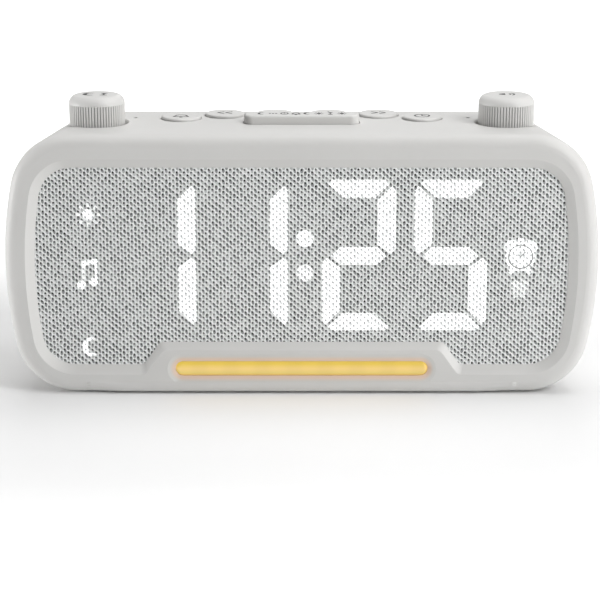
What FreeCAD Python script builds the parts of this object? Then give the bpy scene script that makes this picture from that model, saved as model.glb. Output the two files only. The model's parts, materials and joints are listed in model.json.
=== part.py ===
import FreeCAD, Part
import math
import os
import Sketcher

# Bedside digital alarm clock: a moulded housing with a cloth front, a segment display that shines
# through the cloth, a night-light bar, six keys, a snooze bar and two push-and-turn knobs.
# Millimetres, +Z up, the front faces -Y, the origin lies under the middle of the footprint.

Vector = FreeCAD.Vector
doc = FreeCAD.newDocument("BedsideClock")

# Driving dimensions. Every one is set once, here, and reaches the model through the sheet.
DRIVING = {
    # body form
    "width": 200.0,
    "depth": 62.0,
    "body_height": 89.0,
    "foot_height": 0.4,
    "corner_round": 20.0,
    "side_bow": 140.0,
    "rear_inset": 4.6,
    "rear_corner_round": 31.0,
    "front_edge_round": 4.2,
    "rear_edge_round": 18.0,
    "wall": 2.5,
    "parting_gap": 0.4,
    "lip_height": 2.2,
    "lip_wall": 1.2,
    # window, cloth and chin
    "rim_side": 10.5,
    "rim_top": 11.1,
    "rim_bottom": 9.8,
    "window_corner": 11.2,
    "window_bow": 152.0,
    "bevel": 3.1,
    "cloth_recess": 2.0,
    "cloth_thick": 0.6,
    "cloth_tuck": 2.4,
    "chin_top": 48.2,
    "chin_slant": 6.15,
    "chin_rise": 8.6,
    "chin_round": 4.5,
    "chin_foot_round": 4.0,
    # display
    "digit_high": 52.0,
    "digit_wide": 24.6,
    "digit_pitch": 30.8,
    "colon_gap": 5.2,
    "stroke": 6.1,
    "stroke_gap": 1.1,
    "time_right": 61.9,
    "time_middle": 47.7,
    "colon_dot": 5.8,
    "colon_spread": 11.9,
    "sign_place": 71.0,
    "sign_window": 12.4,
    "carrier_thick": 1.6,
    "light_box": 9.0,
    "board_thick": 1.6,
    "led_wide": 3.4,
    "led_high": 0.9,
    # night light
    "bar_long": 85.3,
    "bar_high": 4.8,
    "bar_middle": 9.1,
    "bar_dish": 0.8,
    "dish_spread": 2.9,
    "tray_deep": 4.2,
    # keys and snooze bar
    "key_wide": 13.6,
    "key_proud": 0.9,
    "key_travel": 0.8,
    "key_flange": 0.8,
    "flange_thick": 1.0,
    "snooze_long": 39.2,
    "snooze_deep": 8.6,
    "snooze_proud": 3.0,
    "snooze_depth": 24.9,
    "snooze_travel": 1.0,
    "row_gap": 0.7,
    "key_split": 3.4,
    "key_gap": 2.1,
    "outer_key_gap": 0.8,
    "outer_key_turn": 22.0,
    "slide_gap": 0.3,
    # knobs and encoders
    "knob_wide": 18.9,
    "knob_proud": 9.6,
    "knob_place": 69.6,
    "knob_depth": 25.0,
    "knob_round": 2.9,
    "flute_end": 2.9,
    "flute_deep": 0.35,
    "well_gap": 1.0,
    "well_deep": 1.6,
    "spindle_wide": 6.0,
    "press_travel": 0.6,
    "running_gap": 0.05,
    "encoder_wide": 12.0,
    "encoder_high": 5.0,
    # boards and loudspeaker
    "key_board_drop": 9.8,
    "main_board_rise": 19.6,
    "speaker_wide": 40.0,
    "speaker_place": 40.0,
    "speaker_rise": 45.0,
    "grille_slot": 2.2,
    "grille_pitch": 4.4,
    # back: sockets, cell and door
    "audio_bore": 3.6,
    "audio_deep": 12.0,
    "cell_wide": 20.0,
    "cell_thick": 3.2,
    "bay_place": 42.0,
    "bay_rise": 50.0,
    "door_wide": 27.0,
    "door_thick": 1.5,
    # fasteners and feet
    "screw_wide": 2.6,
    "screw_head": 5.0,
    "boss_wide": 7.0,
    "boss_inset": 18.0,
    "foot_wide": 9.0,
    "foot_place": 62.0,
}

NODES = {}


def fill_sheet():
    """Write the driving dimensions into the spreadsheet, one aliased cell each."""
    sheet = doc.addObject("Spreadsheet::Sheet", "Sizes")
    for row, (name, value) in enumerate(DRIVING.items(), start=1):
        sheet.set(f"A{row}", name)
        sheet.set(f"B{row}", str(value))
        sheet.setAlias(f"B{row}", name)
    doc.recompute()
    return sheet


class Dim:
    """A size that knows both its number and the sheet expression that gives it."""

    def __init__(self, value, text):
        self.value = float(value)
        self.text = text

    def _join(self, other, sign, value):
        return Dim(value, f"({self.text} {sign} {as_dim(other).text})")

    def __add__(self, other):
        return self._join(other, "+", self.value + float(other))

    def __radd__(self, other):
        return as_dim(other) + self

    def __sub__(self, other):
        return self._join(other, "-", self.value - float(other))

    def __rsub__(self, other):
        return as_dim(other) - self

    def __mul__(self, other):
        return self._join(other, "*", self.value * float(other))

    def __rmul__(self, other):
        return as_dim(other) * self

    def __truediv__(self, other):
        return self._join(other, "/", self.value / float(other))

    def __neg__(self):
        return as_dim(0) - self

    def __float__(self):
        return self.value


def as_dim(size):
    """Give a plain number the same form as a sheet size."""
    return size if isinstance(size, Dim) else Dim(size, repr(float(size)))


sheet = fill_sheet()


def size(name):
    return Dim(sheet.get(name), f"Sizes.{name}")


def bind(thing, prop, dim):
    """Set a property from a size, so that the sheet drives it."""
    thing.setExpression(prop, as_dim(dim).text)


def place(thing, x, y, z):
    for axis, dim in zip("xyz", (x, y, z)):
        bind(thing, f"Placement.Base.{axis}", dim)


# Levels and planes that several pieces share
front = -size("depth") / 2
rear = size("depth") / 2
bottom = size("foot_height")
top = size("foot_height") + size("body_height")
middle = size("foot_height") + size("body_height") / 2
roof = top - size("wall")
floor = bottom + size("wall")
key_span = size("key_wide") + size("key_flange") * 2
snooze_back = size("snooze_depth") + size("snooze_deep") / 2 + size("key_flange")
key_row = snooze_back + size("row_gap") + key_span / 2
parting = front + key_row + key_span / 2 + size("parting_gap") + size("lip_height")
boss_x = size("width") / 2 - size("boss_inset")
cloth_front = front + size("cloth_recess")
cloth_back = cloth_front + size("cloth_thick")
carrier_back = cloth_back + size("carrier_thick")
block_back = carrier_back + size("light_box")
display_back = block_back + size("board_thick")
cover_inside = rear - size("wall")
flange_top = roof - size("slide_gap")
flange_bottom = flange_top - size("flange_thick")
key_board_top = top - size("key_board_drop")
main_board_top = bottom + size("main_board_rise")
window_top = top - size("rim_top")
window_bottom = bottom + size("rim_bottom")
window_half = size("width") / 2 - size("rim_side")
chin_line = window_bottom + size("chin_rise")


def key_places():
    """Where the six keys sit, from the left: two behind the snooze bar, and two at each side of
    them that step outwards and forwards. Each is an x and a depth behind the front."""
    inner = (size("key_split") + key_span) / 2
    second = inner + key_span + size("key_gap")
    turn = math.radians(float(size("outer_key_turn")))
    step = key_span + size("outer_key_gap")
    outer = second + step * math.cos(turn)
    ahead = key_row - step * math.sin(turn)
    right = [(inner, key_row), (second, key_row), (outer, ahead)]
    return [(-x, depth) for x, depth in reversed(right)] + right


KEY_PLACES = key_places()


# Basic solids, each bound to the sheet
def block(label, x0, x1, y0, y1, z0, z1):
    thing = doc.addObject("Part::Box", label)
    bind(thing, "Length", x1 - as_dim(x0))
    bind(thing, "Width", y1 - as_dim(y0))
    bind(thing, "Height", z1 - as_dim(z0))
    place(thing, x0, y0, z0)
    return thing


def turn_to(thing, axis):
    turns = {"X": (Vector(0, 1, 0), 90), "Y": (Vector(1, 0, 0), -90), "Z": (Vector(0, 0, 1), 0)}
    thing.Placement.Rotation = FreeCAD.Rotation(*turns[axis])


def rod(label, x, y, z, radius, length, axis="Z"):
    """A cylinder that starts at x, y, z and runs along +axis."""
    thing = doc.addObject("Part::Cylinder", label)
    turn_to(thing, axis)
    bind(thing, "Radius", radius)
    bind(thing, "Height", length)
    place(thing, x, y, z)
    return thing


def cone(label, x, y, z, start_radius, end_radius, length, axis="Z"):
    thing = doc.addObject("Part::Cone", label)
    turn_to(thing, axis)
    bind(thing, "Radius1", start_radius)
    bind(thing, "Radius2", end_radius)
    bind(thing, "Height", length)
    place(thing, x, y, z)
    return thing


def fuse(label, *things):
    thing = doc.addObject("Part::MultiFuse", label)
    thing.Shapes = list(things)
    return thing


def common(label, *things):
    thing = doc.addObject("Part::MultiCommon", label)
    thing.Shapes = list(things)
    return thing


def cut(label, base, *tools):
    thing = doc.addObject("Part::Cut", label)
    thing.Base = base
    thing.Tool = tools[0] if len(tools) == 1 else fuse(label + "_tools", *tools)
    return thing


def group(label, *things):
    """Several separate solids that make one node."""
    thing = doc.addObject("Part::Compound", label)
    thing.Links = list(things)
    return thing


def node(name, thing):
    """Name a finished piece; its label is the name of its file."""
    thing.Label = name
    NODES[name] = thing
    return thing


def round_edges(label, base, radius, wanted):
    """Fillet the edges of a solid that the test picks."""
    doc.recompute()
    picked = [i + 1 for i, edge in enumerate(base.Shape.Edges) if wanted(edge)]
    thing = doc.addObject("Part::Fillet", label)
    thing.Base = base
    thing.Edges = [(i, float(radius), float(radius)) for i in picked]
    return thing


# Sketches on the body's own upright plane, which looks along Y
def origin_plane(body, role):
    return [plane for plane in body.Origin.OriginFeatures if plane.Role == role][0]


def upright_sketch(body, name, y=0):
    sketch = body.newObject("Sketcher::SketchObject", name)
    sketch.AttachmentSupport = [(origin_plane(body, "XZ_Plane"), "")]
    sketch.MapMode = "FlatFace"
    bind(sketch, "AttachmentOffset.Base.z", -as_dim(y))
    return sketch


def level_sketch(body, name, z=0):
    sketch = body.newObject("Sketcher::SketchObject", name)
    sketch.AttachmentSupport = [(origin_plane(body, "XY_Plane"), "")]
    sketch.MapMode = "FlatFace"
    bind(sketch, "AttachmentOffset.Base.z", z)
    return sketch


def hold(sketch, kind, *refs):
    """Add a dimension whose last entry is a size; the sheet drives it."""
    *where, dim = refs
    index = sketch.addConstraint(Sketcher.Constraint(kind, *where, float(dim)))
    sketch.setExpression(f"Constraints[{index}]", as_dim(dim).text)


def draw_polygon(sketch, points):
    """A closed outline of straight edges, with every corner held by two dimensions."""
    first = sketch.GeometryCount
    count = len(points)
    spots = [Vector(float(x), float(y), 0) for x, y in points]
    for i in range(count):
        sketch.addGeometry(Part.LineSegment(spots[i], spots[(i + 1) % count]), False)
    for i in range(count):
        sketch.addConstraint(Sketcher.Constraint("Coincident", first + i, 2, first + (i + 1) % count, 1))
    for i, (x, y) in enumerate(points):
        hold(sketch, "DistanceX", -1, 1, first + i, 1, x)
        hold(sketch, "DistanceY", -1, 1, first + i, 1, y)


def draw_bowed_outline(sketch, half, low, high, corner, bow):
    """A rounded rectangle whose two sides bow outwards: flat top and bottom, large arcs at the
    sides, and four corner arcs tangent to both."""
    centre_level = (as_dim(low) + high) / 2
    half_v, low_v, high_v = float(half), float(low), float(high)
    corner_v, bow_v, level_v = float(corner), float(bow), float(centre_level)
    rise = math.asin(((high_v - low_v) / 2 - corner_v) / (bow_v - corner_v))
    reach = half_v - bow_v + (bow_v - corner_v) * math.cos(rise)
    right = math.pi / 2

    def arc(x, y, radius, start, end):
        circle = Part.Circle(Vector(x, y, 0), Vector(0, 0, 1), radius)
        sketch.addGeometry(Part.ArcOfCircle(circle, start, end), False)

    def line(x0, x1, y):
        sketch.addGeometry(Part.LineSegment(Vector(x0, y, 0), Vector(x1, y, 0)), False)

    arc(half_v - bow_v, level_v, bow_v, -rise, rise)
    arc(reach, high_v - corner_v, corner_v, rise, right)
    line(reach, -reach, high_v)
    arc(-reach, high_v - corner_v, corner_v, right, 2 * right - rise)
    arc(bow_v - half_v, level_v, bow_v, 2 * right - rise, 2 * right + rise)
    arc(-reach, low_v + corner_v, corner_v, 2 * right + rise, 3 * right)
    line(-reach, reach, low_v)
    arc(reach, low_v + corner_v, corner_v, 3 * right, 4 * right - rise)
    for i in range(8):
        sketch.addConstraint(Sketcher.Constraint("Tangent", i, 2, (i + 1) % 8, 1))
    for side, sign in ((0, 1), (4, -1)):
        hold(sketch, "DistanceX", -1, 1, side, 3, (as_dim(half) - bow) * sign)
        hold(sketch, "DistanceY", -1, 1, side, 3, centre_level)
        hold(sketch, "Radius", side, bow)
    for edge, level in ((2, high), (6, low)):
        sketch.addConstraint(Sketcher.Constraint("Horizontal", edge))
        hold(sketch, "DistanceY", -1, 1, edge, 1, level)
    for i in (1, 3, 5, 7):
        hold(sketch, "Radius", i, corner)


def new_body(name):
    return doc.addObject("PartDesign::Body", name)


def loft(body, name, first, last):
    """A straight-sided solid between two sections, built from the rear one forwards."""
    thing = body.newObject("PartDesign::AdditiveLoft", name)
    thing.Profile = last
    thing.Sections = [first]
    thing.Ruled = True
    return thing


def pad(body, name, sketch, length, reverse=False):
    thing = body.newObject("PartDesign::Pad", name)
    thing.Profile = sketch
    thing.Reversed = reverse
    bind(thing, "Length", length)
    return thing


def soften(body, name, base, radius, wanted):
    """Fillet edges of a body feature that the test picks."""
    doc.recompute()
    picked = [f"Edge{i + 1}" for i, edge in enumerate(base.Shape.Edges) if wanted(edge)]
    thing = body.newObject("PartDesign::Fillet", name)
    thing.Base = (base, picked)
    bind(thing, "Radius", radius)
    doc.recompute()
    return thing


def on_plane(axis, level, slack=0.01):
    """A test for edges that lie in one plane square to an axis."""
    def test(edge):
        box = edge.BoundBox
        low = getattr(box, axis + "Min")
        high = getattr(box, axis + "Max")
        return abs(low - float(level)) < slack and abs(high - float(level)) < slack
    return test


# Body form: the section tapers from the front to the back, like a sleeve that leaves its mould
def share_of_depth(y):
    return (as_dim(y) - front) / size("depth")


def body_section(body, name, y, inset):
    """The corners grow towards the back and the side bow shrinks with them, so that every corner
    keeps its angle and the sleeve has no crease."""
    taper = share_of_depth(y)
    tall = size("body_height") / 2
    half = size("width") / 2 - size("rear_inset") * taper - inset
    corner = size("corner_round") + (size("rear_corner_round") - size("corner_round")) * taper
    lean = (size("side_bow") - size("corner_round")) / (tall - size("corner_round"))
    bow = corner + (tall - corner) * lean
    sketch = upright_sketch(body, name, y)
    draw_bowed_outline(sketch, half, bottom + inset, top - inset, corner - inset, bow - inset)
    return sketch


def body_form(name, y0, y1, inset):
    body = new_body(name)
    first = body_section(body, name + "_front", y0, inset)
    last = body_section(body, name + "_rear", y1, inset)
    return body, loft(body, name + "_sleeve", first, last)


def outer_form():
    body, sleeve = body_form("outer_form", front, rear, as_dim(0))
    face = soften(body, "front_edge", sleeve, size("front_edge_round"), on_plane("Y", front))
    soften(body, "rear_edge", face, size("rear_edge_round"), on_plane("Y", rear))
    return body


def cavity_form(name, inset):
    """The outer form shrunk by an even inset, open at the cloth's plane."""
    back = rear - inset
    body, sleeve = body_form(name, cloth_front, back, inset)
    soften(body, name + "_rear_edge", sleeve, size("rear_edge_round") - inset, on_plane("Y", back))
    return body


def window_section(body, name, y, spread):
    sketch = upright_sketch(body, name, y)
    draw_bowed_outline(sketch, window_half + spread, window_bottom - spread, window_top + spread,
                       size("window_corner") + spread, size("window_bow") + spread)
    return sketch


def window_form(name, y0, y1, spread0, spread1):
    body = new_body(name)
    loft(body, name + "_bevel", window_section(body, name + "_front", y0, spread0),
         window_section(body, name + "_back", y1, spread1))
    return body


def chin_outline(body, name, y, shrink):
    """The raised middle of the lower rim: a low trapezoid that goes below the window."""
    line = chin_line - shrink
    foot = bottom
    lean = size("chin_slant") / size("chin_rise")
    half_top = size("chin_top") - shrink * 0.45
    half_foot = half_top + lean * (line - foot)
    sketch = upright_sketch(body, name, y)
    draw_polygon(sketch, [(-half_foot, foot), (half_foot, foot), (half_top, line), (-half_top, line)])
    return sketch


def chin_form(name, y0, y1, shrink0, shrink1):
    body = new_body(name)
    form = loft(body, name + "_wedge", chin_outline(body, name + "_front", y0, shrink0),
                chin_outline(body, name + "_back", y1, shrink1))
    foot = float(window_bottom)
    soften(body, name + "_corners", form, size("chin_round"),
           lambda edge: edge.BoundBox.YLength > 0.5 and edge.BoundBox.ZMin > foot)
    return body


def pill(name, x, z, length, height, y0, y1):
    """A bar with round ends that runs along X, seen from the front."""
    straight = (as_dim(length) - height) / 2
    parts = [block(name + "_mid", x - straight, x + straight, y0, y1,
                   z - as_dim(height) / 2, z + as_dim(height) / 2)]
    for side, sign in (("left", -1), ("right", 1)):
        parts.append(rod(name + "_" + side, x + straight * sign, y0, z,
                         as_dim(height) / 2, y1 - as_dim(y0), "Y"))
    return fuse(name, *parts)


# Housing: sleeve, front rim and chin in one moulding
def knob_x(sign):
    return size("knob_place") * sign


knob_y = front + size("knob_depth")
well_radius = size("knob_wide") / 2 + size("well_gap")
well_floor = top - size("well_deep")
bush_radius = size("spindle_wide") / 2 + 0.5
key_hole_radius = size("key_wide") / 2 + size("slide_gap")
snooze_y = front + size("snooze_depth")
boss_levels = (middle - 19.0, middle + 19.0)
key_posts = [(-56.0, 38.5), (-31.0, 17.5), (31.0, 17.5), (56.0, 38.5)]
sensor_places = (-57.3, 57.3)
sensor_y = front + 33.4
board_posts = [(-2.0, 26.0), (-2.0, 41.5), (66.0, 26.0), (66.0, 41.5)]


def rounded_plate(name, x, y, half_x, half_y, corner, z0, z1):
    """A flat rectangle with round corners, seen from above."""
    body = new_body(name)
    sketch = level_sketch(body, name + "_outline", z0)
    hx, hy, r = float(half_x), float(half_y), float(corner)
    cx, cy = float(x), float(y)
    right = math.pi / 2
    corners = [(1, 1, 0), (-1, 1, 1), (-1, -1, 2), (1, -1, 3)]
    for sx, sy, turn in corners:
        circle = Part.Circle(Vector(cx + sx * (hx - r), cy + sy * (hy - r), 0), Vector(0, 0, 1), r)
        sketch.addGeometry(Part.ArcOfCircle(circle, turn * right, (turn + 1) * right), False)
    ends = [(cx + hx - r, cy + hy, cx - hx + r, cy + hy), (cx - hx, cy + hy - r, cx - hx, cy - hy + r),
            (cx - hx + r, cy - hy, cx + hx - r, cy - hy), (cx + hx, cy - hy + r, cx + hx, cy + hy - r)]
    for x0, y0, x1, y1 in ends:
        sketch.addGeometry(Part.LineSegment(Vector(x0, y0, 0), Vector(x1, y1, 0)), False)
    for i in range(4):
        sketch.addConstraint(Sketcher.Constraint("Tangent", i, 2, 4 + i, 1))
        sketch.addConstraint(Sketcher.Constraint("Tangent", 4 + i, 2, (i + 1) % 4, 1))
        hold(sketch, "Radius", i, corner)
    for i, (sx, sy, turn) in enumerate(corners):
        if i in (0, 2):
            hold(sketch, "DistanceX", -1, 1, i, 3, as_dim(x) + (as_dim(half_x) - corner) * sx)
            hold(sketch, "DistanceY", -1, 1, i, 3, as_dim(y) + (as_dim(half_y) - corner) * sy)
    sketch.addConstraint(Sketcher.Constraint("Horizontal", 4))
    sketch.addConstraint(Sketcher.Constraint("Vertical", 5))
    pad(body, name + "_pad", sketch, z1 - as_dim(z0))
    return body


def housing():
    outer = outer_form()
    inner = cavity_form("inner_form", size("wall"))
    front_half = block("front_half", -size("width"), size("width"), front - 10, parting, -10, top + 40)
    shell = common("housing_shell", cut("whole_shell", outer, inner), front_half)
    inside = [rod(f"well_pad_{s}", knob_x(s), knob_y, well_floor - size("wall"), well_radius + 2, size("wall"))
              for s in (-1, 1)]
    for i, (x, depth) in enumerate(key_posts):
        inside.append(rod(f"key_post_{i}", x, front + depth, key_board_top, 2.6, roof + 0.5 - key_board_top))
    for i, (x, depth) in enumerate(board_posts):
        inside.append(rod(f"board_post_{i}", x, front + depth, floor - 0.5, 3.0,
                          main_board_top - size("board_thick") - floor + 0.5))
    for s in (-1, 1):
        for i, level in enumerate(boss_levels):
            x = boss_x * s
            near, far = (x, x + 13) if s > 0 else (x - 13, x)
            inside.append(rod(f"boss_{s}_{i}", x, front + 19, level, size("boss_wide") / 2,
                              parting - 1 - front - 19, "Y"))
            inside.append(block(f"boss_rib_{s}_{i}", near, far, front + 19, parting - size("lip_height") - 0.8,
                                level - 1, level + 1))
    inside_trim = common("housing_inside", fuse("inside_parts", *inside), outer)
    tools = [window_opening()]
    tools.append(pill("bar_hole", as_dim(0), size("bar_middle"), size("bar_long") + 0.3, size("bar_high") + 0.3,
                      front - 1, cloth_front + 1))
    tools.append(bar_dish())
    for s in (-1, 1):
        tools.append(rod(f"well_{s}", knob_x(s), knob_y, well_floor, well_radius, size("well_deep") + 5))
        tools.append(cone(f"well_rim_{s}", knob_x(s), knob_y, top - 0.45, well_radius, well_radius + 0.9, 0.9))
        tools.append(rod(f"bush_hole_{s}", knob_x(s), knob_y, well_floor - 5, bush_radius + 0.2, 9))
    for i, (x, depth) in enumerate(KEY_PLACES):
        tools.append(rod(f"key_hole_{i}", x, front + depth, roof - 1, key_hole_radius, size("wall") + 5))
    tools.append(rounded_plate("snooze_slot", as_dim(0), snooze_y, size("snooze_long") / 2 + size("slide_gap"),
                               size("snooze_deep") / 2 + size("slide_gap"), as_dim(3.4), roof - 1, top + 3))
    for i, x in enumerate(sensor_places):
        tools.append(rod(f"sensor_hole_{i}", x, sensor_y, roof - 1, 0.8, size("wall") + 2))
    pilot = size("screw_wide") / 2 + size("running_gap")
    for i, (x, depth) in enumerate(key_posts):
        tools.append(rod(f"key_pilot_{i}", x, front + depth, key_board_top - 1, pilot, 6.5))
    for i, (x, depth) in enumerate(board_posts):
        tools.append(rod(f"board_pilot_{i}", x, front + depth, main_board_top - 8, pilot, 8))
    for s in (-1, 1):
        for i, level in enumerate(boss_levels):
            tools.append(rod(f"boss_pilot_{s}_{i}", boss_x * s, parting - 12, level, pilot, 14, "Y"))
    return node("housing", cut("housing_cut", fuse("housing_solid", shell, inside_trim), *tools))


def window_opening():
    """The bevelled window less the bevelled chin, with the two corners at the chin's foot rounded."""
    recess = size("cloth_recess")
    window = window_form("window", front - 1, cloth_front, size("bevel") * ((recess + 1) / recess), as_dim(0))
    chin = chin_form("chin", front - 1.5, cloth_front + 0.5, size("bevel") * ((recess + 2) / (recess + 0.5)),
                     as_dim(0))
    opening = cut("window_less_chin", window, chin)
    foot_low = float(size("chin_top"))

    def at_foot(edge):
        ends = [vertex.Point for vertex in edge.Vertexes]
        low = all(foot_low < abs(point.x) < foot_low + 12 and point.z < float(window_bottom) + 0.1 for point in ends)
        return low and len(ends) == 2 and abs(ends[0].y - ends[1].y) > 1

    return round_edges("window_opening", opening, size("chin_foot_round"), at_foot)


def bar_dish():
    """The soft dish round the night-light bar, made as a sloped ring that narrows inwards."""
    deep = size("bar_dish")
    lead = 0.4
    ring = 0.15
    mouth = (size("dish_spread") - ring) * ((deep + lead) / deep) + ring
    body = new_body("bar_dish_form")

    def outline(name, y, spread):
        sketch = upright_sketch(body, name, y)
        radius = size("bar_high") / 2 + spread
        straight = (size("bar_long") - size("bar_high")) / 2
        level = float(size("bar_middle"))
        reach = float(straight)
        r = float(radius)
        right = math.pi / 2
        for sign in (1, -1):
            circle = Part.Circle(Vector(sign * reach, level, 0), Vector(0, 0, 1), r)
            start = -right if sign > 0 else right
            sketch.addGeometry(Part.ArcOfCircle(circle, start, start + 2 * right), False)
            sketch.addGeometry(Part.LineSegment(Vector(sign * reach, level + sign * r, 0),
                                                Vector(-sign * reach, level + sign * r, 0)), False)
        for i in range(4):
            sketch.addConstraint(Sketcher.Constraint("Tangent", i, 2, (i + 1) % 4, 1))
        for i, sign in ((0, 1), (2, -1)):
            hold(sketch, "DistanceX", -1, 1, i, 3, straight * sign)
            hold(sketch, "DistanceY", -1, 1, i, 3, size("bar_middle"))
        hold(sketch, "Radius", 0, radius)
        return sketch

    loft(body, "bar_dish_loft", outline("dish_mouth", front - lead, mouth),
         outline("dish_floor", front + deep, as_dim(ring)))
    return body


# Cloth, its carrier and the display behind it
def blank_behind_window(name, y0, y1, spread):
    """A plate of the window's outline, grown all round and cut away over the chin."""
    plate = window_form(name + "_plate", y0, y1, spread, spread)
    chin = chin_form(name + "_chin", y0 - 1, y1 + 1, size("cloth_tuck"), size("cloth_tuck"))
    return cut(name, plate, chin)


def speaker_cloth():
    return node("speaker_cloth", blank_behind_window("cloth", cloth_front, cloth_back, size("cloth_tuck")))


def digit_right_edges():
    """The right edge of each digit, from the last to the first."""
    last = size("time_right")
    pitch = size("digit_pitch")
    gap = size("colon_gap")
    return [last - pitch * 3 - gap, last - pitch * 2 - gap, last - pitch, last]


def segment_outlines(right_edge, spread):
    """The seven mitred strokes of one digit, each with its sharp ends nicked off; spread grows each
    a little, for a well or a window."""
    t = size("stroke")
    skew = size("stroke_gap") / math.sqrt(2)
    x1 = as_dim(right_edge)
    x0 = x1 - size("digit_wide")
    zm = size("time_middle")
    nick = t * 0.2
    outlines = []
    for way in (1, -1):
        end = zm + size("digit_high") / 2 * way
        outlines.append([(x0 + nick + skew, end - nick * way), (x0 + nick * 2 + skew, end),
                         (x1 - nick * 2 - skew, end), (x1 - nick - skew, end - nick * way),
                         (x1 - t - skew, end - t * way), (x0 + t + skew, end - t * way)])
    half = t / 2
    outlines.append([(x0 + half, zm), (x0 + t, zm + half), (x1 - t, zm + half),
                     (x1 - half, zm), (x1 - t, zm - half), (x0 + t, zm - half)])
    for way in (1, -1):
        end = zm + size("digit_high") / 2 * way
        for edge, inward in ((x0, 1), (x1, -1)):
            outlines.append([(edge, end - (nick * 2.5 + skew) * way), (edge + nick * inward, end - (nick + skew) * way),
                             (edge + t * inward, end - (t + skew) * way), (edge + t * inward, zm + t * 0.66 * way),
                             (edge + nick * 1.3 * inward, zm + nick * 0.55 * way), (edge, zm + nick * 1.9 * way)])
    return [spread_out(outline, spread) for outline in outlines]


def spread_out(outline, spread):
    """Push every corner outwards, so that a convex outline grows evenly."""
    mid_x = sum(float(x) for x, z in outline) / len(outline)
    mid_z = sum(float(z) for x, z in outline) / len(outline)

    def pushed(value, mid):
        away = float(value) - mid
        return value if abs(away) < 0.3 else value + as_dim(spread) * math.copysign(1, away)

    return [(pushed(x, mid_x), pushed(z, mid_z)) for x, z in outline]


def prism(name, outline, y0, y1):
    body = new_body(name)
    sketch = upright_sketch(body, name + "_outline", y0)
    draw_polygon(sketch, outline)
    pad(body, name + "_pad", sketch, y1 - as_dim(y0), reverse=True)
    return body


def display_prisms(name, y0, y1, spread):
    """One prism for each stroke, colon dot and sign of the display."""
    prisms = []
    for digit, edge in enumerate(digit_right_edges()):
        for stroke, outline in enumerate(segment_outlines(edge, spread)):
            prisms.append(prism(f"{name}_{digit}_{stroke}", outline, y0, y1))
    dot = size("colon_dot") / 2 + spread
    dot_x = digit_right_edges()[1] + (size("digit_pitch") - size("digit_wide") + size("colon_gap")) / 2
    for sign in (-1, 1):
        prisms.append(rod(f"{name}_dot_{sign}", dot_x, y0, size("time_middle") + size("colon_spread") / 2 * sign,
                          dot, y1 - as_dim(y0), "Y"))
    half = size("sign_window") / 2 + spread
    for i, (side, level) in enumerate(sign_places()):
        prisms.append(block(f"{name}_sign_{i}", side - half, side + half, y0, y1, level - half, level + half))
    return prisms


def sign_places():
    """The middles of the small lit signs: three at the left, two at the right."""
    side = size("sign_place")
    mid = size("time_middle")
    return [(-side, mid + 14.3), (-side, mid - 6.8), (-side, mid - 28.5), (side + 2.2, mid + 0.3),
            (side + 2.2, mid - 13.2)]


def cloth_carrier():
    plate = blank_behind_window("carrier", cloth_back, carrier_back, size("cloth_tuck") - 0.4)
    windows = display_prisms("carrier_window", cloth_back - 1, carrier_back + 1, as_dim(0.1))
    return node("cloth_carrier", cut("carrier_cut", plate, *windows))


def segment_diffusers():
    return node("segment_diffusers", group("diffusers", *display_prisms("diffuser", cloth_back, carrier_back,
                                                                        as_dim(0))))


def display_light_box():
    side = size("sign_place") + size("sign_window") / 2 + 4
    low = sign_places()[2][1] - size("sign_window") / 2 - 0.6
    high = size("time_middle") + size("digit_high") / 2 + 2
    plate = block("light_box_plate", -side, side + 2, carrier_back, block_back, low, high)
    notch = block("light_box_notch", -size("chin_top") - 12, size("chin_top") + 12, carrier_back - 1,
                  block_back + 1, low - 1, chin_line + 1)
    wells = display_prisms("light_well", carrier_back - 1, block_back + 1, as_dim(-0.35))
    return node("display_light_box", cut("light_box", plate, notch, *wells))


def display_board():
    side = size("sign_place") + size("sign_window") / 2 + 3
    low = chin_line + 2
    high = size("time_middle") + size("digit_high") / 2 + 1
    plate = block("display_board_plate", -side, side + 2, block_back, display_back, low, high)
    ear = block("display_board_ear", -side, -size("chin_top") - 13, block_back, display_back,
                sign_places()[2][1] - size("sign_window") / 2, low + 1)
    return node("display_board", fuse("display_board_outline", plate, ear))


def display_leds():
    """One light source behind the middle of every stroke, dot and sign."""
    half = size("led_wide") / 2
    tall = size("led_high")
    leds = []

    def led(x, z):
        leds.append(block(f"led_{len(leds)}", x - half, x + half, block_back - tall, block_back,
                          z - half * 0.8, z + half * 0.8))

    for edge in digit_right_edges():
        centre = edge - size("digit_wide") / 2
        for level in (-1, 0, 1):
            led(centre, size("time_middle") + (size("digit_high") - size("stroke")) / 2 * level)
        for side in (-1, 1):
            for level in (-1, 1):
                led(centre + (size("digit_wide") - size("stroke")) / 2 * side,
                    size("time_middle") + size("digit_high") / 4 * level)
    for x, z in sign_places():
        led(x, z)
    return node("display_leds", group("display_led_group", *leds))


# Night light
def night_light_lens():
    bar = pill("lens_bar", as_dim(0), size("bar_middle"), size("bar_long"), size("bar_high"),
               front + 0.2, cloth_front + 0.5)
    soft = round_edges("lens_front", bar, 1.2, on_plane("Y", front + 0.2))
    flange = pill("lens_flange", as_dim(0), size("bar_middle"), size("bar_long") + 3, size("bar_high") + 3,
                  cloth_front, cloth_front + 1.2)
    return node("night_light_lens", fuse("lens", soft, flange))


def night_light_tray():
    half = size("bar_long") / 2 + 2.2
    y0 = cloth_front + 1.2
    y1 = y0 + size("tray_deep")
    low = size("bar_middle") - size("bar_high") / 2 - 2
    high = size("bar_middle") + size("bar_high") / 2 + 2
    solid = block("tray_solid", -half, half, y0, y1, low, high)
    hollow = block("tray_hollow", -half + 1.4, half - 1.4, y0 - 1, y1 + 1, low + 1.4, high - 1.4)
    return node("night_light_tray", cut("tray", solid, hollow))


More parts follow.
